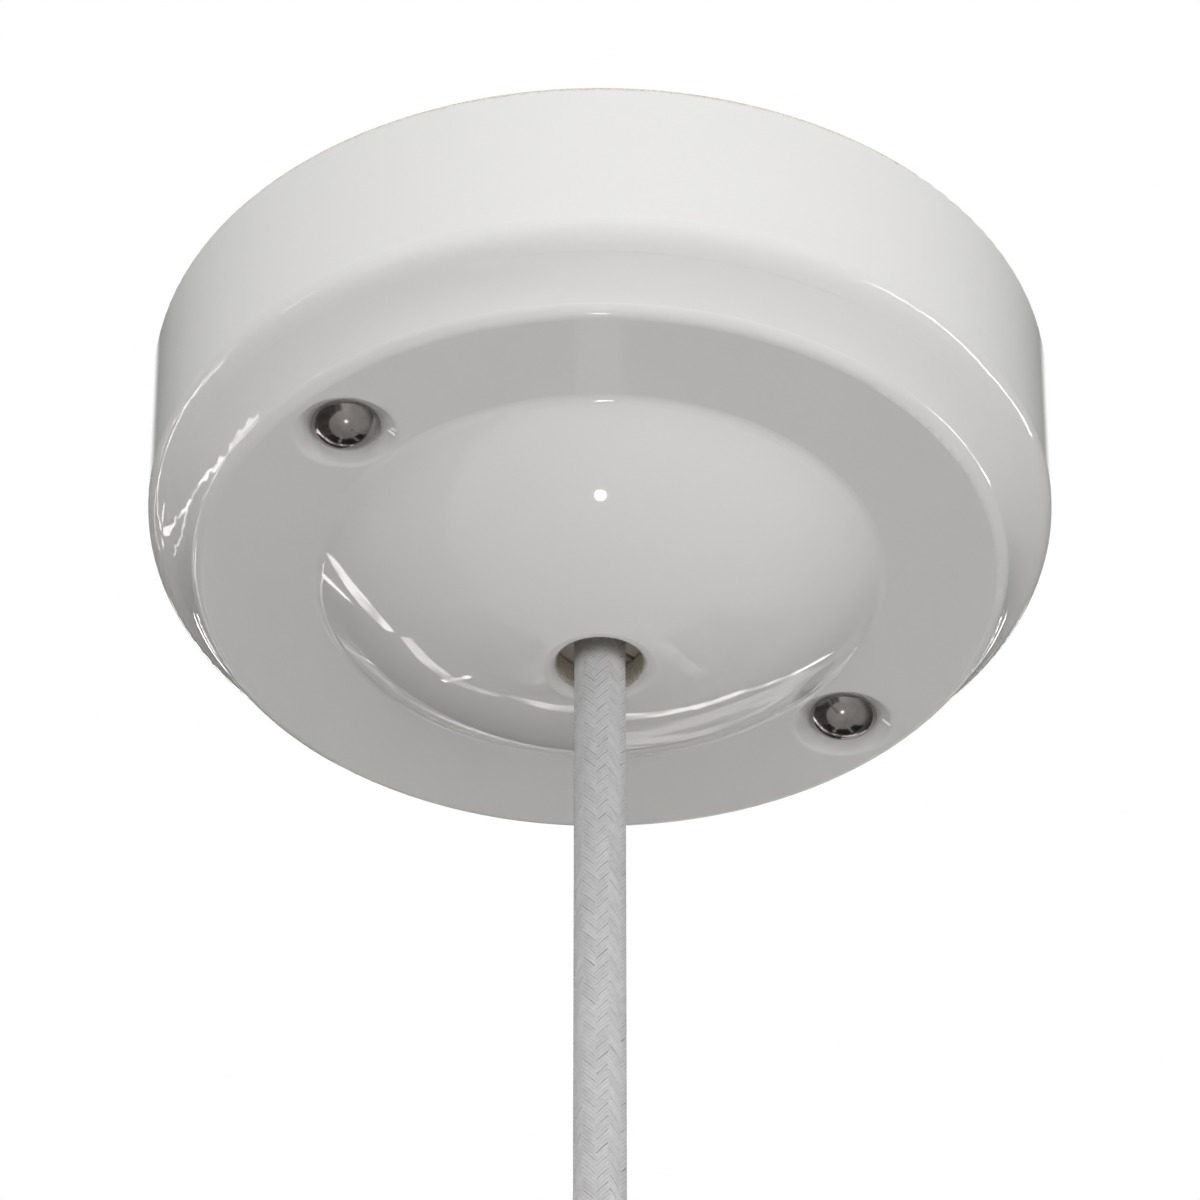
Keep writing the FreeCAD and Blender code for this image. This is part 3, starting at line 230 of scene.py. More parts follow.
def makeBraid(name, places):
    along, centre, side, other = railsAlong(places, flex["step"])
    rows = len(along)
    outer, carriers = flex["diameter"] / 2, flex["carriers"]
    middle = outer - flex["strand"] * 0.5 - flex["crown"]
    half = math.pi / carriers * flex["cover"]
    tops = 2 * flex["yarns"] + 1
    across = np.concatenate([np.linspace(-1, 1, tops), [flex["edge"], -flex["edge"]]])
    lift = np.concatenate([flex["crown"] * (np.arange(tops) % 2), [-flex["strand"]] * 2])
    lift = lift - flex["bulge"] * across ** 2
    ring = len(across)
    corners, faces, lays, shades = [], [], [], []
    random = np.random.default_rng(flex["seed"])

    def addRing(start, angle, radius):
        spots = (centre[:, None, :] + side[:, None, :] * (radius * np.cos(angle))[..., None]
                 + other[:, None, :] * (radius * np.sin(angle))[..., None])
        corners.extend(spots.reshape(-1, 3).tolist())
        count = angle.shape[1]
        for row in range(rows - 1):
            low = start + row * count
            for spot in range(count):
                after = (spot + 1) % count
                faces.append((low + spot, low + after, low + count + after, low + count + spot))
        faces.append(tuple(start + spot for spot in reversed(range(count))))
        faces.append(tuple(start + (rows - 1) * count + spot for spot in range(count)))

    for turning in (1, -1):
        for carrier in range(carriers):
            angle = (turning * 2 * math.pi * along / flex["lead"])[:, None] \
                + 2 * math.pi * carrier / carriers + half * across[None, :]
            wave = np.cos((2 * carriers * angle / (2 * math.pi) - 0.5) * math.pi / 2)
            # over two, under two
            weave = turning * wave * (1 + flex["flatten"] - flex["flatten"] * wave ** 2)
            stray = np.interp(along, np.linspace(0, along[-1], flex["strays"]),
                              random.normal(0, 1, flex["strays"]))[:, None]
            radius = middle - flex["strand"] * 0.5 + weave * flex["strand"] * 0.5 + lift[None, :] \
                + np.minimum(stray, 0) * flex["slack"]
            addRing(len(corners), angle, radius)
            lays.append(np.stack([np.broadcast_to(across * flex["yarns"] / 2, angle.shape).ravel(),
                                  np.repeat(along * 1000, ring)], axis=1))
            shades.append(np.full(rows * ring, random.random()))
    core = flex["core"]
    inside = np.broadcast_to(np.linspace(0, 2 * math.pi, core, endpoint=False), (rows, core))
    addRing(len(corners), inside, np.full(inside.shape, middle - flex["coreDeep"] * flex["strand"]))
    lays.append(np.zeros((rows * core, 2)))
    shades.append(np.zeros(rows * core))

    piece = linkMesh(name, corners, faces)
    mesh = piece.data
    shade = mesh.attributes.new("yarnShade", "FLOAT", "POINT")
    shade.data.foreach_set("value", np.concatenate(shades).astype(np.float32))
    lays = np.concatenate(lays)   # yarns across, millimetres along
    spots = np.zeros(len(mesh.loops), dtype=np.int32)
    mesh.loops.foreach_get("vertex_index", spots)
    layer = mesh.uv_layers.new(name="yarn")
    layer.data.foreach_set("uv", lays[spots].astype(np.float32).ravel())
    return piece


# look of the yarns, where nothing else is said as shares
cotton = {
    "roughness": 0.88,
    "sheen": 0.22,
    "sheenRoughness": 0.45,
    "gloss": 0.3,
    "ply": (5.0, 15.0),          # twist in radians, a yarn across and a millimetre along
    "fibre": (9.0, 1.2),         # fineness, the same two ways
    "mottleScale": 1300.0,
    "strandTone": 0.16,
    "fibreTone": 0.40,
    "mottleTone": 0.60,
    "grooveShadeTone": 0.12,
    "toneFrom": 0.30,            # from here up the shadow's colour gives way to the light one
    "toneTo": 0.82,
    # painted shade in the hole: its greatest share, then where it starts and ends
    "holeShade": 0.75,
    "holeShadeFrom": -0.0008,      # metres from the hole's lower edge
    "holeShadeTo": 0.0020,
    "crownRelief": 0.5,
    "plyRelief": 0.25,
    "relief": 0.00003,           # metres
}


def textileFinish():
    finish, tree, shader = newFinish("woven_cotton", cotton["roughness"], Sheen_Weight=cotton["sheen"],
                                     Sheen_Roughness=cotton["sheenRoughness"],
                                     Specular_IOR_Level=cotton["gloss"])
    yarn = addNode(tree, "ShaderNodeUVMap", uv_map="yarn").outputs["UV"]
    parts = addNode(tree, "ShaderNodeSeparateXYZ", {"Vector": yarn})
    along = mathOf(tree, "MULTIPLY", parts.outputs["Y"], cotton["ply"][1])
    ply = mathOf(tree, "SINE", mathOf(tree, "MULTIPLY_ADD", parts.outputs["X"], cotton["ply"][0], along))
    crown = mathOf(tree, "COSINE", mathOf(tree, "MULTIPLY", parts.outputs["X"], 2 * math.pi))
    stretched = {axis: mathOf(tree, "MULTIPLY", parts.outputs[axis], fine)
                 for axis, fine in zip("XY", cotton["fibre"])}
    hairs = addNode(tree, "ShaderNodeCombineXYZ", stretched).outputs["Vector"]
    fibre = noiseOf(tree, hairs, 1.0, 4.0, 0.6)
    strand = addNode(tree, "ShaderNodeAttribute", attribute_name="yarnShade").outputs["Fac"]
    mottle = noiseOf(tree, placeOf(tree), cotton["mottleScale"], 3.0, 0.65)
    grain = mathOf(tree, "ADD", mathOf(tree, "MULTIPLY", fibre, cotton["fibreTone"]),
                   mathOf(tree, "MULTIPLY", mottle, cotton["mottleTone"]))
    tone = mathOf(tree, "ADD", mathOf(tree, "MULTIPLY", strand, cotton["strandTone"]), grain)
    # painted shade: each yarn lighter on its crown and darker in the grooves between yarns
    tone = mathOf(tree, "MULTIPLY_ADD", crown, cotton["grooveShadeTone"], tone)
    colour = mixOf(tree, rampOf(tree, tone, cotton["toneFrom"], cotton["toneTo"], smooth=False),
                   flex["shadow"], flex["colour"])
    height = addNode(tree, "ShaderNodeSeparateXYZ", {"Vector": placeOf(tree)}).outputs["Z"]
    # painted shade: the flex's colour darkens towards the hole's lower edge and up into it
    inHole = rampOf(tree, height, flex["exit"][2] + cotton["holeShadeFrom"],
                    flex["exit"][2] + cotton["holeShadeTo"], 0.0, cotton["holeShade"])
    tree.links.new(mixOf(tree, inHole, colour, flex["holeShade"]), shader.inputs["Base Color"])
    relief = mathOf(tree, "MULTIPLY_ADD", crown, cotton["crownRelief"],
                    mathOf(tree, "MULTIPLY_ADD", ply, cotton["plyRelief"], fibre))
    tree.links.new(bumpOf(tree, relief, cotton["relief"]), shader.inputs["Normal"])
    return finish


flexLine = followRoute("flexLine", flex["route"])
flexPiece = makeBraid("flex_braid", flexLine)
dress(flexPiece, textileFinish())
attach(flexPiece, "root")
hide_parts("flex_cord")
print("flex braided,", len(flexPiece.data.polygons), "faces")


# porcelain

porcelain = {
    "glaze": (0.86, 0.853, 0.855),
    "glazeWarm": (0.845, 0.838, 0.835),
    "bisque": (0.80, 0.74, 0.655),     # bare body of the ware
    "bisqueDark": (0.56, 0.51, 0.44),
    "polish": 0.04,                    # roughness of the glaze
    "bareRoughness": 0.9,
    "refraction": 1.58,
    "holeRadius": 0.0060,
    "holeEdge": 0.0004,                # how softly the glaze ends
    "holeFoot": -0.0474,               # above this height the hole's wall is bare
    "footEdge": 0.0001,
    "rimDepth": -0.0006,               # above this height the rim is bare
    "rimEdge": 0.0002,
    "ragged": 0.0006,                  # how far the glaze's edge wanders
    "raggedScale": 900.0,
    "grainScale": 2600.0,
    "cloudScale": 28.0,
    "waveScale": 42.0,
    "wave": 0.00006,                   # relief of the glaze
    "sand": 0.00012,                   # relief of the bare ware
}


def porcelainFinish():
    finish, tree, shader = newFinish("glazed_porcelain", porcelain["polish"], IOR=porcelain["refraction"])
    place = placeOf(tree)
    parts = addNode(tree, "ShaderNodeSeparateXYZ", {"Vector": place})
    flat = addNode(tree, "ShaderNodeVectorMath", {0: place, 1: (1, 1, 0)}, operation="MULTIPLY").outputs[0]
    reach = addNode(tree, "ShaderNodeVectorMath", {0: flat}, operation="LENGTH").outputs["Value"]
    ragged = mathOf(tree, "MULTIPLY_ADD", noiseOf(tree, place, porcelain["raggedScale"]),
                    porcelain["ragged"], -porcelain["ragged"] / 2)
    across = mathOf(tree, "ADD", reach, ragged)
    height = mathOf(tree, "ADD", parts.outputs["Z"], ragged)
    inHole = rampOf(tree, across, porcelain["holeRadius"] + porcelain["holeEdge"], porcelain["holeRadius"])
    aboveFoot = rampOf(tree, height, porcelain["holeFoot"] - porcelain["footEdge"],
                       porcelain["holeFoot"] + porcelain["footEdge"])
    hole = mathOf(tree, "MULTIPLY", inHole, aboveFoot)
    rim = rampOf(tree, height, porcelain["rimDepth"] - porcelain["rimEdge"],
                 porcelain["rimDepth"] + porcelain["rimEdge"])
    bare = mathOf(tree, "MAXIMUM", hole, rim)
    grain = noiseOf(tree, place, porcelain["grainScale"], 4.0, 0.7)
    cloud = noiseOf(tree, place, porcelain["cloudScale"], 3.0)
    glaze = mixOf(tree, cloud, porcelain["glazeWarm"], porcelain["glaze"])
    bisque = mixOf(tree, rampOf(tree, grain, 0.35, 0.65), porcelain["bisqueDark"], porcelain["bisque"])
    tree.links.new(mixOf(tree, bare, glaze, bisque), shader.inputs["Base Color"])
    roughness = rampOf(tree, bare, 0.0, 1.0, porcelain["polish"], porcelain["bareRoughness"], smooth=False)
    tree.links.new(roughness, shader.inputs["Roughness"])
    wave = bumpOf(tree, noiseOf(tree, place, porcelain["waveScale"], 2.0, 0.4), porcelain["wave"])
    sand = mathOf(tree, "MULTIPLY", grain, bare)
    tree.links.new(bumpOf(tree, sand, porcelain["sand"], wave), shader.inputs["Normal"])
    return finish


# metals and plastics

metals = {
    "chrome": {"name": "polished_nut", "light": (0.36, 0.335, 0.325), "dark": (0.27, 0.25, 0.245),
               "roughness": 0.14, "spread": 0.03, "scale": 500.0, "scratch": 0.000002},
    "tinned_copper": {"name": "tinned_copper", "light": (0.66, 0.64, 0.60), "dark": (0.54, 0.50, 0.45),
                      "roughness": 0.34, "spread": 0.08, "scale": 700.0, "scratch": 0.000010},
    "brass": {"name": "turned_brass", "light": (0.76, 0.55, 0.25), "dark": (0.66, 0.46, 0.20),
              "roughness": 0.28, "spread": 0.08, "scale": 400.0, "scratch": 0.000006,
              "brushed": (1.0, 9.0, 1.0)},
    "nickel": {"name": "nickel_plate", "light": (0.66, 0.63, 0.58), "dark": (0.58, 0.55, 0.50),
               "roughness": 0.22, "spread": 0.07, "scale": 300.0, "scratch": 0.000004,
               "brushed": (1.0, 1.0, 9.0)},
    "zinc_steel": {"name": "zinc_plate", "light": (0.64, 0.65, 0.67), "dark": (0.50, 0.51, 0.52),
                   "roughness": 0.36, "spread": 0.10, "scale": 160.0, "scratch": 0.000010},
}
metalWork = {
    "patches": (0.3, 0.7),    # the noise's values between a metal's two tones
    "finer": 6,               # the scratches are that much finer than the patches
}

plastics = {
    "blue_sheath": {"name": "blue_sheath", "colour": (0.05, 0.18, 0.55), "shade": (0.04, 0.15, 0.47),
                    "roughness": 0.42},
    "brown_sheath": {"name": "brown_sheath", "colour": (0.20, 0.09, 0.04), "shade": (0.16, 0.07, 0.03),
                     "roughness": 0.42},
    "nylon": {"name": "moulded_nylon", "colour": (0.80, 0.79, 0.75), "shade": (0.76, 0.745, 0.70),
              "roughness": 0.5, "scale": 1400.0, "relief": 0.00002},
    "grip_fibre": {"name": "pressed_fibre", "colour": (0.66, 0.605, 0.53), "shade": (0.52, 0.47, 0.405),
                   "roughness": 0.8, "scale": 1800.0, "relief": 0.00003},
}
plasticWork = {"refraction": 1.5, "cloudScale": 180.0}

earthSheath = {
    "roughness": 0.42,
    "lean": (650.0, 650.0, 900.0),     # how the stripe winds, in radians a metre
    "edge": 0.05,                      # how softly the stripe ends
    "green": ((0.035, 0.17, 0.03), (0.05, 0.22, 0.04)),
    "yellow": ((0.60, 0.48, 0.03), (0.68, 0.55, 0.05)),
    "cloudScale": 300.0,
    "grainScale": 1200.0,
    "relief": 0.000006,
}


def metalFinish(name, light, dark, roughness, spread, scale, scratch, brushed=None):
    # light and dark are the metal's two tones, spread the change in roughness
    finish, tree, shader = newFinish(name, roughness, 1.0)
    place = placeOf(tree)
    if brushed is not None:
        place = addNode(tree, "ShaderNodeVectorMath", {0: place, 1: brushed}, operation="MULTIPLY").outputs[0]
    cloud = noiseOf(tree, place, scale, 4.0, 0.6)
    tone = rampOf(tree, cloud, *metalWork["patches"])
    tree.links.new(mixOf(tree, tone, dark, light), shader.inputs["Base Color"])
    fine = noiseOf(tree, place, scale * metalWork["finer"], 3.0, 0.6)
    uneven = rampOf(tree, fine, *metalWork["patches"], roughness - spread, roughness + spread)
    tree.links.new(uneven, shader.inputs["Roughness"])
    tree.links.new(bumpOf(tree, fine, scratch), shader.inputs["Normal"])
    return finish


def plasticFinish(name, colour, shade, roughness, scale=900.0, relief=0.00001):
    finish, tree, shader = newFinish(name, roughness, IOR=plasticWork["refraction"])
    place = placeOf(tree)
    cloud = noiseOf(tree, place, plasticWork["cloudScale"], 2.0)
    tree.links.new(mixOf(tree, cloud, shade, colour), shader.inputs["Base Color"])
    tree.links.new(bumpOf(tree, noiseOf(tree, place, scale, 3.0), relief), shader.inputs["Normal"])
    return finish


def earthSheathFinish():
    # green with a yellow stripe that winds round the wire
    finish, tree, shader = newFinish("green_yellow_sheath", earthSheath["roughness"],
                                     IOR=plasticWork["refraction"])
    place = placeOf(tree)
    parts = addNode(tree, "ShaderNodeSeparateXYZ", {"Vector": place})
    lean = mathOf(tree, "MULTIPLY", parts.outputs["Z"], earthSheath["lean"][2])
    lean = mathOf(tree, "MULTIPLY_ADD", parts.outputs["Y"], earthSheath["lean"][1], lean)
    lean = mathOf(tree, "MULTIPLY_ADD", parts.outputs["X"], earthSheath["lean"][0], lean)
    stripe = rampOf(tree, mathOf(tree, "SINE", lean), -earthSheath["edge"], earthSheath["edge"])
    cloud = noiseOf(tree, place, earthSheath["cloudScale"], 2.0)
    green = mixOf(tree, cloud, *earthSheath["green"])
    yellow = mixOf(tree, cloud, *earthSheath["yellow"])
    tree.links.new(mixOf(tree, stripe, green, yellow), shader.inputs["Base Color"])
    grain = noiseOf(tree, place, earthSheath["grainScale"], 2.0)
    tree.links.new(bumpOf(tree, grain, earthSheath["relief"]), shader.inputs["Normal"])
    return finish


finishes = {"porcelain": porcelainFinish(), "green_sheath": earthSheathFinish()}
for slotName, given in metals.items():
    finishes[slotName] = metalFinish(**given)
for slotName, given in plastics.items():
    finishes[slotName] = plasticFinish(**given)
slotOf = {part["node"]: part["material_slot"] for part in frame["record"]["subparts"]}
for nodeName, node in nodes.items():
    if slotOf[nodeName] in finishes:
        dress(node, finishes[slotOf[nodeName]])
print("finishes on", len(nodes), "nodes")


# threads, screws and the lampholder's grip, cut as the real ones are

thread = {
    "sides": 32,
    "phases": (0.0, 0.125, 0.4375, 0.6875),   # crest from, crest to, root from, root to, as shares of a turn
    "deep": 0.6134,                           # share of the pitch
    "lead": 1.06,                             # the end's chamfer, as a share of the depth
    "weld": 1e-7,                             # corners closer than this become one
}


def threadMesh(radius, pitch, low, high):
    # a closed threaded rod on the Z axis
    sides, phases = thread["sides"], thread["phases"]
    deep = thread["deep"] * pitch
    tip = radius - deep * thread["lead"]
    turns = int((high - low) / pitch) + 3
    mesh = bmesh.new()
    rows = []
    for row in range(turns * len(phases)):
        crest = row % len(phases) < 2
        ring = []
        for side in range(sides):
            height = low + pitch * (row // len(phases) - 1 + phases[row % len(phases)] + side / sides)
            held = min(max(height, low), high)
            reach = min(radius if crest else radius - deep, tip + min(held - low, high - held))
            if held != height:
                reach = tip
            angle = 2 * math.pi * side / sides
            ring.append(mesh.verts.new((reach * math.cos(angle), reach * math.sin(angle), held)))
        rows.append(ring)
    for row in range(len(rows) - 1):
        here, above = rows[row], rows[row + 1]
        for side in range(sides - 1):
            mesh.faces.new((here[side], here[side + 1], above[side + 1], above[side]))
        nextTurn = row + len(phases)
        if nextTurn + 1 < len(rows):
            mesh.faces.new((here[-1], rows[nextTurn][0], rows[nextTurn + 1][0], above[-1]))
    bmesh.ops.remove_doubles(mesh, verts=mesh.verts, dist=thread["weld"])
    ends = [edge for edge in mesh.edges if edge.is_boundary]
    bmesh.ops.holes_fill(mesh, edges=ends, sides=0)
    return mesh


def turnedMesh(outline, sides=48):
    # a closed solid of revolution from pairs of radius and height, first and last on the axis
    mesh = bmesh.new()
    rings = []
    for reach, height in outline:
        if reach == 0:
            rings.append([mesh.verts.new((0, 0, height))] * sides)
        else:
            rings.append([mesh.verts.new((reach * math.cos(2 * math.pi * side / sides),
                                          reach * math.sin(2 * math.pi * side / sides), height))
                          for side in range(sides)])
    for lower, upper in zip(rings, rings[1:]):
        for side in range(sides):
            after = (side + 1) % sides
            spots = [lower[side], lower[after], upper[after], upper[side]]
            mesh.faces.new([spot for index, spot in enumerate(spots) if spot not in spots[:index]])
    return mesh


def turnMesh(mesh, turn, about):
    bmesh.ops.rotate(mesh, verts=mesh.verts, cent=(0, 0, 0),
                     matrix=Matrix.Rotation(math.radians(turn), 3, about))


def blockMesh(low, high, turn):
    # a box between two corners, turned on the Z axis
    mesh = bmesh.new()
    corners = [mesh.verts.new((x, y, z)) for x in (low[0], high[0]) for y in (low[1], high[1])
               for z in (low[2], high[2])]
    for face in ((0, 1, 3, 2), (4, 6, 7, 5), (0, 4, 5, 1), (2, 3, 7, 6), (0, 2, 6, 4), (1, 5, 7, 3)):
        mesh.faces.new([corners[spot] for spot in face])
    turnMesh(mesh, turn, "Z")
    return mesh


def pieceOf(name, mesh):
    bmesh.ops.recalc_face_normals(mesh, faces=mesh.faces)
    data = bpy.data.meshes.new(name)
    mesh.to_mesh(data)
    mesh.free()
    piece = bpy.data.objects.new(name, data)
    scene.collection.objects.link(piece)
    return piece


def join(piece, operation, mesh):
    # another solid is added to the piece or cut away from it
    tool = pieceOf(piece.name + "_tool", mesh)
    change = piece.modifiers.new(operation.lower(), "BOOLEAN")
    change.operation = operation
    change.solver = "EXACT"
    change.object = tool
    graph = bpy.context.evaluated_depsgraph_get()
    after = bpy.data.meshes.new_from_object(piece.evaluated_get(graph))
    piece.modifiers.clear()
    before = piece.data
    piece.data = after
    after.name = piece.name
    bpy.data.meshes.remove(before)
    bpy.data.meshes.remove(tool.data)


sharpFrom = 32.0      # degrees between two faces


def settle(piece, node, place, turn=0.0):
    # turned on the X axis, moved to its place, shaded, and put in for the plain CAD solid
    piece.data.transform(Matrix.Translation(place) @ Matrix.Rotation(math.radians(turn), 4, "X"))
    piece.data.update()
    for face in piece.data.polygons:
        face.use_smooth = True
    piece.data.set_sharp_from_angle(angle=math.radians(sharpFrom))
    dress(piece, finishes[slotOf[node]])
    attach(piece, "root")
    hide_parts(node)


screws = {
    "block": {"shank": 0.0015, "length": 0.0136, "head": 0.0027, "headHeight": 0.0020, "pitch": 0.0005,
              "drive": "cross"},
    "grip": {"shank": 0.0015, "length": 0.0132, "head": 0.0027, "headHeight": 0.0020, "pitch": 0.0005,
             "drive": "cross"},
    "terminal": {"shank": 0.00125, "length": 0.0056, "head": 0.00175, "headHeight": 0.0018, "pitch": 0.00045,
                 "drive": "slot"},
    "earth": {"shank": 0.00175, "length": 0.0056, "head": 0.0034, "headHeight": 0.0023, "pitch": 0.0007,
              "drive": "slot"},
}

# radii are shares of the head's radius, heights shares of the head's height
screwHead = {
    "overlap": 0.0002,                 # metres that the thread reaches into the head
    "bevel": 0.14,
    "underBevel": 0.4,                 # a share of the bevel, like the two numbers of each corner below
    "rounding": [(0.0, 2.2), (0.35, 1.1), (1.2, 0.3), (2.6, 0.0)],
    "driveWide": 0.30,
    "driveDeep": 0.55,
    "past": 0.0005,                    # metres that the cutter reaches past the head
    "slotAngle": 25.0,
    "slotTurn": 60,                    # degrees more for a screw one terminal further on
    "crossAngles": (20.0, 110.0),
    "crossLong": 0.62,
    "crossWide": 0.42,                 # half of it, as a share of the slot's width
}

studs = {"across": 0.0447, "height": -0.0003, "radius": 0.0020, "length": 0.0330, "pitch": 0.0007}

# where the screws' tips are
screwPlaces = {
    "block": (0.005, 0, -0.0004),
    "grip": (0.0066, 0.0052, -0.0354),
    "gripTurn": -90.0,
    "earth": (-0.022, 0.0115, -0.0003),
    "poleGap": 0.010,
    "rowSide": 0.0038,
    "closed": -0.0088,
    "open": -0.0094,
}


def makeScrew(node, kind, place, turn=0.0):
    # the tip is at the place and the head below it, as long as the CAD screw
    size = screws[kind]
    head, headHeight = size["head"], size["headHeight"]
    foot = -size["length"]
    inHead = foot + headHeight
    shank = threadMesh(size["shank"], size["pitch"], inHead - screwHead["overlap"], 0.0)
    piece = pieceOf(node + "_cut", shank)
    bevel = screwHead["bevel"] * headHeight
    under = bevel * screwHead["underBevel"]
    outline = [(0, inHead), (head - under, inHead), (head, inHead - under)]
    outline += [(head - inwards * bevel, foot + up * bevel) for inwards, up in screwHead["rounding"]]
    join(piece, "UNION", turnedMesh(outline + [(0, foot)]))
    wide, past = screwHead["driveWide"] * head, screwHead["past"]
    top = foot + screwHead["driveDeep"] * headHeight
    if size["drive"] == "slot":
        angle = screwHead["slotAngle"] + screwHead["slotTurn"] * place[0] / screwPlaces["poleGap"]
        join(piece, "DIFFERENCE", blockMesh((-head - past, -wide / 2, foot - past),
                                            (head + past, wide / 2, top), angle))
    else:
        reach, half = screwHead["crossLong"] * head, wide * screwHead["crossWide"]
        for angle in screwHead["crossAngles"]:
            join(piece, "DIFFERENCE", blockMesh((-reach, -half, foot - past), (reach, half, top), angle))
    settle(piece, node, place, turn)


def makeHardware():
    for side, sign in (("left", -1), ("right", 1)):
        rod = threadMesh(studs["radius"], studs["pitch"], -studs["length"], 0.0)
        settle(pieceOf("stud_%s_cut" % side, rod), "stud_" + side,
               (sign * studs["across"], 0, studs["height"]))
        for kind, turn in (("block", 0.0), ("grip", screwPlaces["gripTurn"])):
            across, along, height = screwPlaces[kind]
            makeScrew("%s_screw_%s" % (kind, side), kind, (sign * across, along, height), turn)
    for pole, spot in (("neutral", -1), ("earth", 0), ("live", 1)):
        for row, sign in (("flex", -1), ("supply", 1)):
            height = screwPlaces["open" if row == "supply" and pole != "earth" else "closed"]
            place = (spot * screwPlaces["poleGap"], sign * screwPlaces["rowSide"], height)
            makeScrew("terminal_screw_%s_%s" % (pole, row), "terminal", place)
    makeScrew("earth_screw", "earth", screwPlaces["earth"])


# outlines are pairs of radius and height
lampGrip = {
    "collar": [(0, -0.141), (0.0064, -0.141), (0.0068, -0.1412), (0.0070, -0.1416), (0.0070, -0.1494),
               (0.0068, -0.1498), (0.0064, -0.150), (0, -0.150)],
    "bore": [(0, -0.140), (0.0041, -0.140), (0.0041, -0.141), (0.00345, -0.1417), (0.00345, -0.160),
             (0, -0.160)],
    "sides": 64,
    "nipple": (0.0050, 0.0010, -0.159, -0.1495),       # M10 by 1, from its lower end to inside the collar
    "screwHole": [(0, 0.0030), (0.00205, 0.0030), (0.00205, 0.0080), (0, 0.0080)],
    "holeSides": 40,
    "screw": (0.0020, 0.0007, -0.00405, 0.0),          # M4 by 0.7, its slotted end outwards
    "screwTip": (0, -0.00345, -0.1455),
    "slot": ((-0.0025, -0.0003, -0.0045), (0.0025, 0.0003, -0.0029)),
    "slotAngle": 35.0,
    "screwTurn": -90.0,
}


def makeLampGrip():
    # a collar that a screw goes through to hold the flex, and a threaded nipple below it
    piece = pieceOf("lamp_grip_cut", threadMesh(*lampGrip["nipple"]))
    join(piece, "UNION", turnedMesh(lampGrip["collar"], lampGrip["sides"]))
    join(piece, "DIFFERENCE", turnedMesh(lampGrip["bore"], lampGrip["sides"]))
    hole = turnedMesh(lampGrip["screwHole"], lampGrip["holeSides"])
    turnMesh(hole, -lampGrip["screwTurn"], "X")
    bmesh.ops.translate(hole, verts=hole.verts, vec=(0, 0, lampGrip["screwTip"][2]))
    join(piece, "DIFFERENCE", hole)
    settle(piece, "lamp_grip", (0, 0, 0))
    screw = pieceOf("lamp_grip_screw_cut", threadMesh(*lampGrip["screw"]))
    join(screw, "DIFFERENCE", blockMesh(*lampGrip["slot"], lampGrip["slotAngle"]))
    settle(screw, "lamp_grip_screw", lampGrip["screwTip"], lampGrip["screwTurn"])
    return [piece, screw]


makeHardware()
onFlex = makeLampGrip()
for pole in ("neutral", "earth", "live"):
    onFlex += [nodes["lamp_core_" + pole], nodes["lamp_ferrule_" + pole]]
print("threads and screws cut")


# studio

middle = Vector((0, 0, -0.030))      # what the lamps and panels stand around

room = {
    "wall": (0.12, 0.12, 0.12),
    "white": (1.0, 1.0, 1.0),
    "backdropEdge": 17.0,    # degrees from the camera's axis where the white backdrop ends
    "backdropFull": 7.5,     # degrees within which it is quite white
}

floorPlate = {
    "height": -1.1,
    "reach": 15.0,
    "colour": (0.74, 0.735, 0.71),
    "shade": (0.71, 0.705, 0.68),
    "roughness": 0.8,
    "cloudScale": 3.0,
    "pale": 0.38,            # added where the camera looks at it
}

# light is the share of a white surface's brightness that the lamp gives when it is faced
lamps = {
    "high_front_softbox": {"bearing": -132.7, "height": 50, "away": 2.0, "wide": 1.4, "light": 0.35},
    "front_softbox": {"bearing": -132.7, "height": 20, "away": 2.0, "wide": 1.4, "light": 0.04},
    "low_front_softbox": {"bearing": -132.7, "height": -8, "away": 2.0, "wide": 1.2, "light": 0.24},
    "right_softbox": {"bearing": -72.7, "height": 20, "away": 2.0, "wide": 1.4, "light": 0.09},
    "low_right_softbox": {"bearing": -72.7, "height": -8, "away": 2.0, "wide": 1.2, "light": 0.12},
    "left_softbox": {"bearing": 167.3, "height": 20, "away": 2.0, "wide": 1.4, "light": 0.13},
    "far_right_softbox": {"bearing": -22.7, "height": 50, "away": 2.0, "wide": 1.4, "light": 0.10},
    "low_far_right_softbox": {"bearing": -22.7, "height": -8, "away": 2.0, "wide": 1.2, "light": 0.06},
    "far_left_softbox": {"bearing": 117.3, "height": 50, "away": 2.0, "wide": 1.4, "light": 0.17},
    "low_far_left_softbox": {"bearing": 117.3, "height": -8, "away": 2.0, "wide": 1.2, "light": 0.04},
    "back_softbox": {"bearing": 47.3, "height": 50, "away": 2.0, "wide": 1.4, "light": 0.06},
}

# the one small lamp that mirrors see as a point
keyLamp = {"bearing": -132.7, "height": -76.4, "away": 0.95, "radius": 0.026, "glow": 30.0}

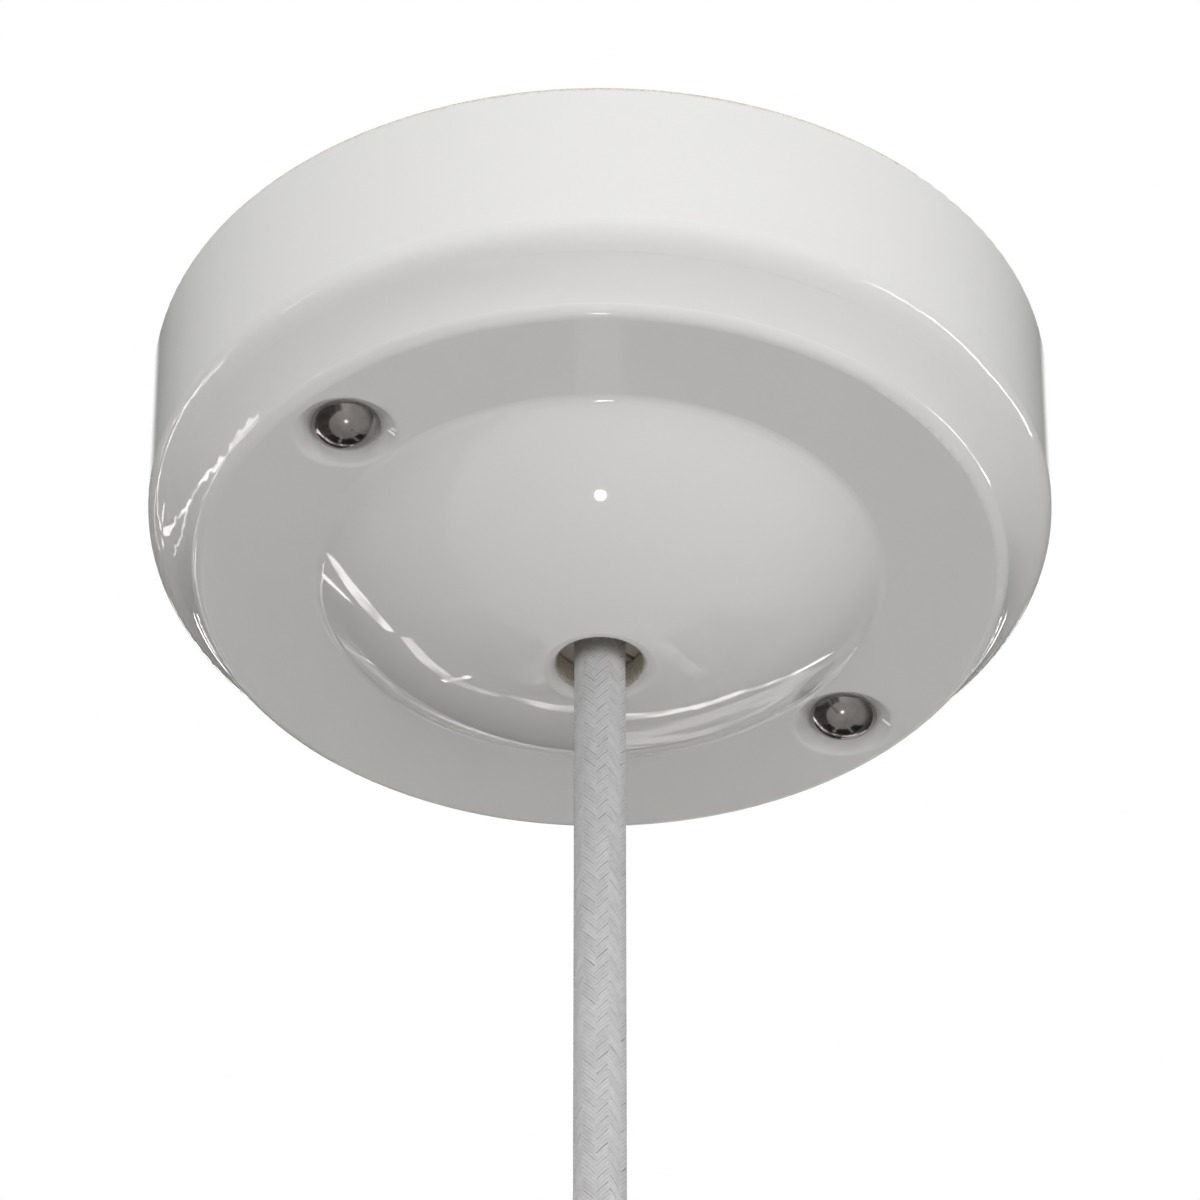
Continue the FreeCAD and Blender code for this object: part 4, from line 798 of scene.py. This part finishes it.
# bright strips and dark walls that only mirrors see: bearing, low and high edge along each, in degrees;
# dim ones stand farther off than bright ones, where a panel doesn't say its own share of the distance
panels = {
    "left_strip": {"edge": [(88, -7.5, -5.5), (91, -4.5, -1), (95, 2, 5), (100, 8, 11),
                            (118, 12, 15), (136, 15.5, 18.5)], "glow": 5.5},
    "hook_strip": {"edge": [(83, -14.5, -12), (87, -14.8, -10), (91, -14, -8.8), (95, -12, -8),
                            (98.5, -10, -8.7)], "glow": 5.5},
    "left_low_strip": {"edge": [(63, -18, -16), (66, -16.5, -13.5), (70, -15, -11.5), (76, -16.5, -12.5),
                                (82, -18.5, -15)], "glow": 3.2},
    "left_bar": {"edge": [(69.4, -20, -10), (70.2, -20, -10)], "glow": 7.0},
    "pane_low": {"edge": [(87, 6, 8.5), (92, 12, 15), (99, 9.5, 12)], "glow": 2.4},
    "pane_middle": {"edge": [(100, 18, 21), (106, 22.5, 25.5), (114, 17, 20)], "glow": 3.0},
    "pane_high": {"edge": [(114, 17, 20.5), (124, 8.5, 13.5), (134, 5.5, 10.5)], "glow": 4.5},
    "back_left_strip": {"edge": [(48, -20, -16.5), (57, -20.5, -17), (62, -19.5, -18)], "glow": 3.0},
    "back_right_strip": {"edge": [(21.5, 3, 7), (24, -3, 0.5), (28, -10.5, -7.5), (36, -14, -11),
                                  (45, -17, -12.5)], "glow": 4.0},
    "far_left_strip": {"edge": [(153, 8, 11), (160, 12, 15), (166, 15.5, 18)], "glow": 4.0},
    "high_left_strip": {"edge": [(173, 1, 5), (180, 9, 12.5), (186, 14.5, 18)], "glow": 3.0},
    "right_strip": {"edge": [(-73, 11, 15), (-64, 15.5, 19.5), (-50, 13.5, 17), (-36, 10, 14),
                             (-24, 14, 18), (-12, 18.5, 22.5)], "glow": 9.0},
    "foot_strip": {"edge": [(22, 22, 24), (34, 25.5, 28), (47, 27, 29.5), (60, 26, 28.5), (72, 23, 25)],
                   "glow": 3.5},
    "dark_corner": {"edge": [(5, -68, -22), (90, -68, -22)], "glow": 0.05},
    "corner_light": {"edge": [(26, -62, -26), (29, -62, -26)], "glow": 1.05},
    "corner_window": {"edge": [(60, -58, -28), (65, -58, -28)], "glow": 1.05},
    "dim_left": {"edge": [(86, -70, -12), (110, -76, -10), (150, -80, -12), (214, -62, -16)], "glow": 0.26,
                 "away": 1.15},
    "dark_left": {"edge": [(94, -58, -14), (112, -64, -14), (150, -66, -16), (190, -50, -20)], "glow": 0.13},
    "dark_wall": {"edge": [(5, -8, 24), (88, -8, 24)], "glow": 0.07},
    "pale_wall": {"edge": [(24, -1, 15), (32, -5, 15), (46, -8, 15)], "glow": 0.9, "away": 1.05},
    "top_light": {"edge": [(-180, 62, 88), (0, 62, 88), (180, 62, 88)], "glow": 0.8},
}
panelWork = {
    "tint": (1.0, 0.945, 0.935),
    "away": 1.3,
    "brightFrom": 1,         # glow
    "brightAway": 1.0,
    "dimAway": 1.1,
    "streakScale": 7.0,      # the glow is uneven, as through old window panes
    "streakDetail": 1.5,
    "streakRange": (0.38, 0.58),
    "dimmest": 0.35,         # share of the glow
    "columns": 6,            # between two points of the edge
    "rows": 3,
}


def makeWorld():
    world = bpy.data.worlds.new("room")
    scene.world = world
    world.use_nodes = True
    tree = world.node_tree
    tree.nodes.clear()
    look = addNode(tree, "ShaderNodeTexCoord").outputs["Generated"]
    axis = towards(photoView["bearing"], photoView["height"])
    near = addNode(tree, "ShaderNodeVectorMath", {0: look, 1: axis}, operation="DOT_PRODUCT").outputs["Value"]
    backdrop = rampOf(tree, near, math.cos(math.radians(room["backdropEdge"])),
                      math.cos(math.radians(room["backdropFull"])))
    ray = addNode(tree, "ShaderNodeLightPath").outputs
    mirrored = mathOf(tree, "ADD", ray["Is Glossy Ray"], ray["Is Transmission Ray"], clamp=True)
    seen = mathOf(tree, "MULTIPLY_ADD", mirrored, backdrop, ray["Is Camera Ray"], clamp=True)
    colour = mixOf(tree, seen, room["wall"], room["white"])
    shader = addNode(tree, "ShaderNodeBackground", {"Color": colour, "Strength": 1.0})
    out = addNode(tree, "ShaderNodeOutputWorld")
    tree.links.new(shader.outputs["Background"], out.inputs["Surface"])


def makeFloor():
    reach, height = floorPlate["reach"], floorPlate["height"]
    piece = linkMesh("floor", [(-reach, -reach, height), (reach, -reach, height), (reach, reach, height),
                               (-reach, reach, height)], [(0, 1, 2, 3)], smooth=False)
    finish, tree, shader = newFinish("pale_floor", floorPlate["roughness"])
    cloud = noiseOf(tree, placeOf(tree), floorPlate["cloudScale"], 3.0)
    colour = mixOf(tree, cloud, floorPlate["shade"], floorPlate["colour"])
    tree.links.new(colour, shader.inputs["Base Color"])
    tree.links.new(colour, shader.inputs["Emission Color"])
    seen = addNode(tree, "ShaderNodeLightPath").outputs["Is Camera Ray"]
    tree.links.new(mathOf(tree, "MULTIPLY", seen, floorPlate["pale"]), shader.inputs["Emission Strength"])
    # a camera under the floor looks through it
    under = mathOf(tree, "MULTIPLY", seen, addNode(tree, "ShaderNodeNewGeometry").outputs["Backfacing"])
    clear = mathOf(tree, "SUBTRACT", 1.0, under)
    tree.links.new(clear, shader.inputs["Alpha"])
    dress(piece, finish)


def makeLamp(name, lamp):
    data = bpy.data.lights.new(name, "AREA")
    data.shape = "DISK"
    data.size = lamp["wide"]
    data.energy = 4 * math.pi * lamp["away"] ** 2 * lamp["light"]
    piece = bpy.data.objects.new(name, data)
    way = towards(lamp["bearing"], lamp["height"])
    piece.location = middle + way * lamp["away"]
    piece.rotation_euler = way.to_track_quat("Z", "Y").to_euler()
    piece.visible_camera = False
    scene.collection.objects.link(piece)
    return piece


def makePanel(name, panel):
    finish = bpy.data.materials.new(name)
    finish.use_nodes = True
    tree = finish.node_tree
    tree.nodes.clear()
    streaks = noiseOf(tree, placeOf(tree), panelWork["streakScale"], panelWork["streakDetail"])
    glow = rampOf(tree, streaks, *panelWork["streakRange"],
                  panelWork["dimmest"] * panel["glow"], panel["glow"])
    shader = addNode(tree, "ShaderNodeEmission", {"Color": (*panelWork["tint"], 1.0), "Strength": glow})
    out = addNode(tree, "ShaderNodeOutputMaterial")
    tree.links.new(shader.outputs["Emission"], out.inputs["Surface"])
    edge = np.array(panel["edge"], dtype=float)
    columns, rows = panelWork["columns"] * (len(edge) - 1), panelWork["rows"]
    share = panelWork["brightAway" if panel["glow"] > panelWork["brightFrom"] else "dimAway"]
    away = panelWork["away"] * panel.get("away", share)
    corners, faces = [], []
    for column in range(columns + 1):
        spot = column / panelWork["columns"]
        bearing, low, high = [np.interp(spot, range(len(edge)), edge[:, part]) for part in range(3)]
        for row in range(rows + 1):
            height = low + (high - low) * row / rows
            corners.append(middle + towards(bearing, height) * away)
    for column in range(columns):
        for row in range(rows):
            first = column * (rows + 1) + row
            faces.append((first, first + 1, first + rows + 2, first + rows + 1))
    piece = linkMesh(name, corners, faces)
    dress(piece, finish)
    piece.visible_camera = False
    piece.visible_diffuse = False
    piece.visible_shadow = False


makeWorld()
makeFloor()
for name, lamp in lamps.items():
    makeLamp(name, lamp).visible_glossy = False
makeLamp("key_lamp", {**keyLamp, "wide": 2 * keyLamp["radius"],
                      "light": keyLamp["glow"] * (keyLamp["radius"] / keyLamp["away"]) ** 2})
for name, panel in panels.items():
    makePanel(name, panel)
print("studio set")
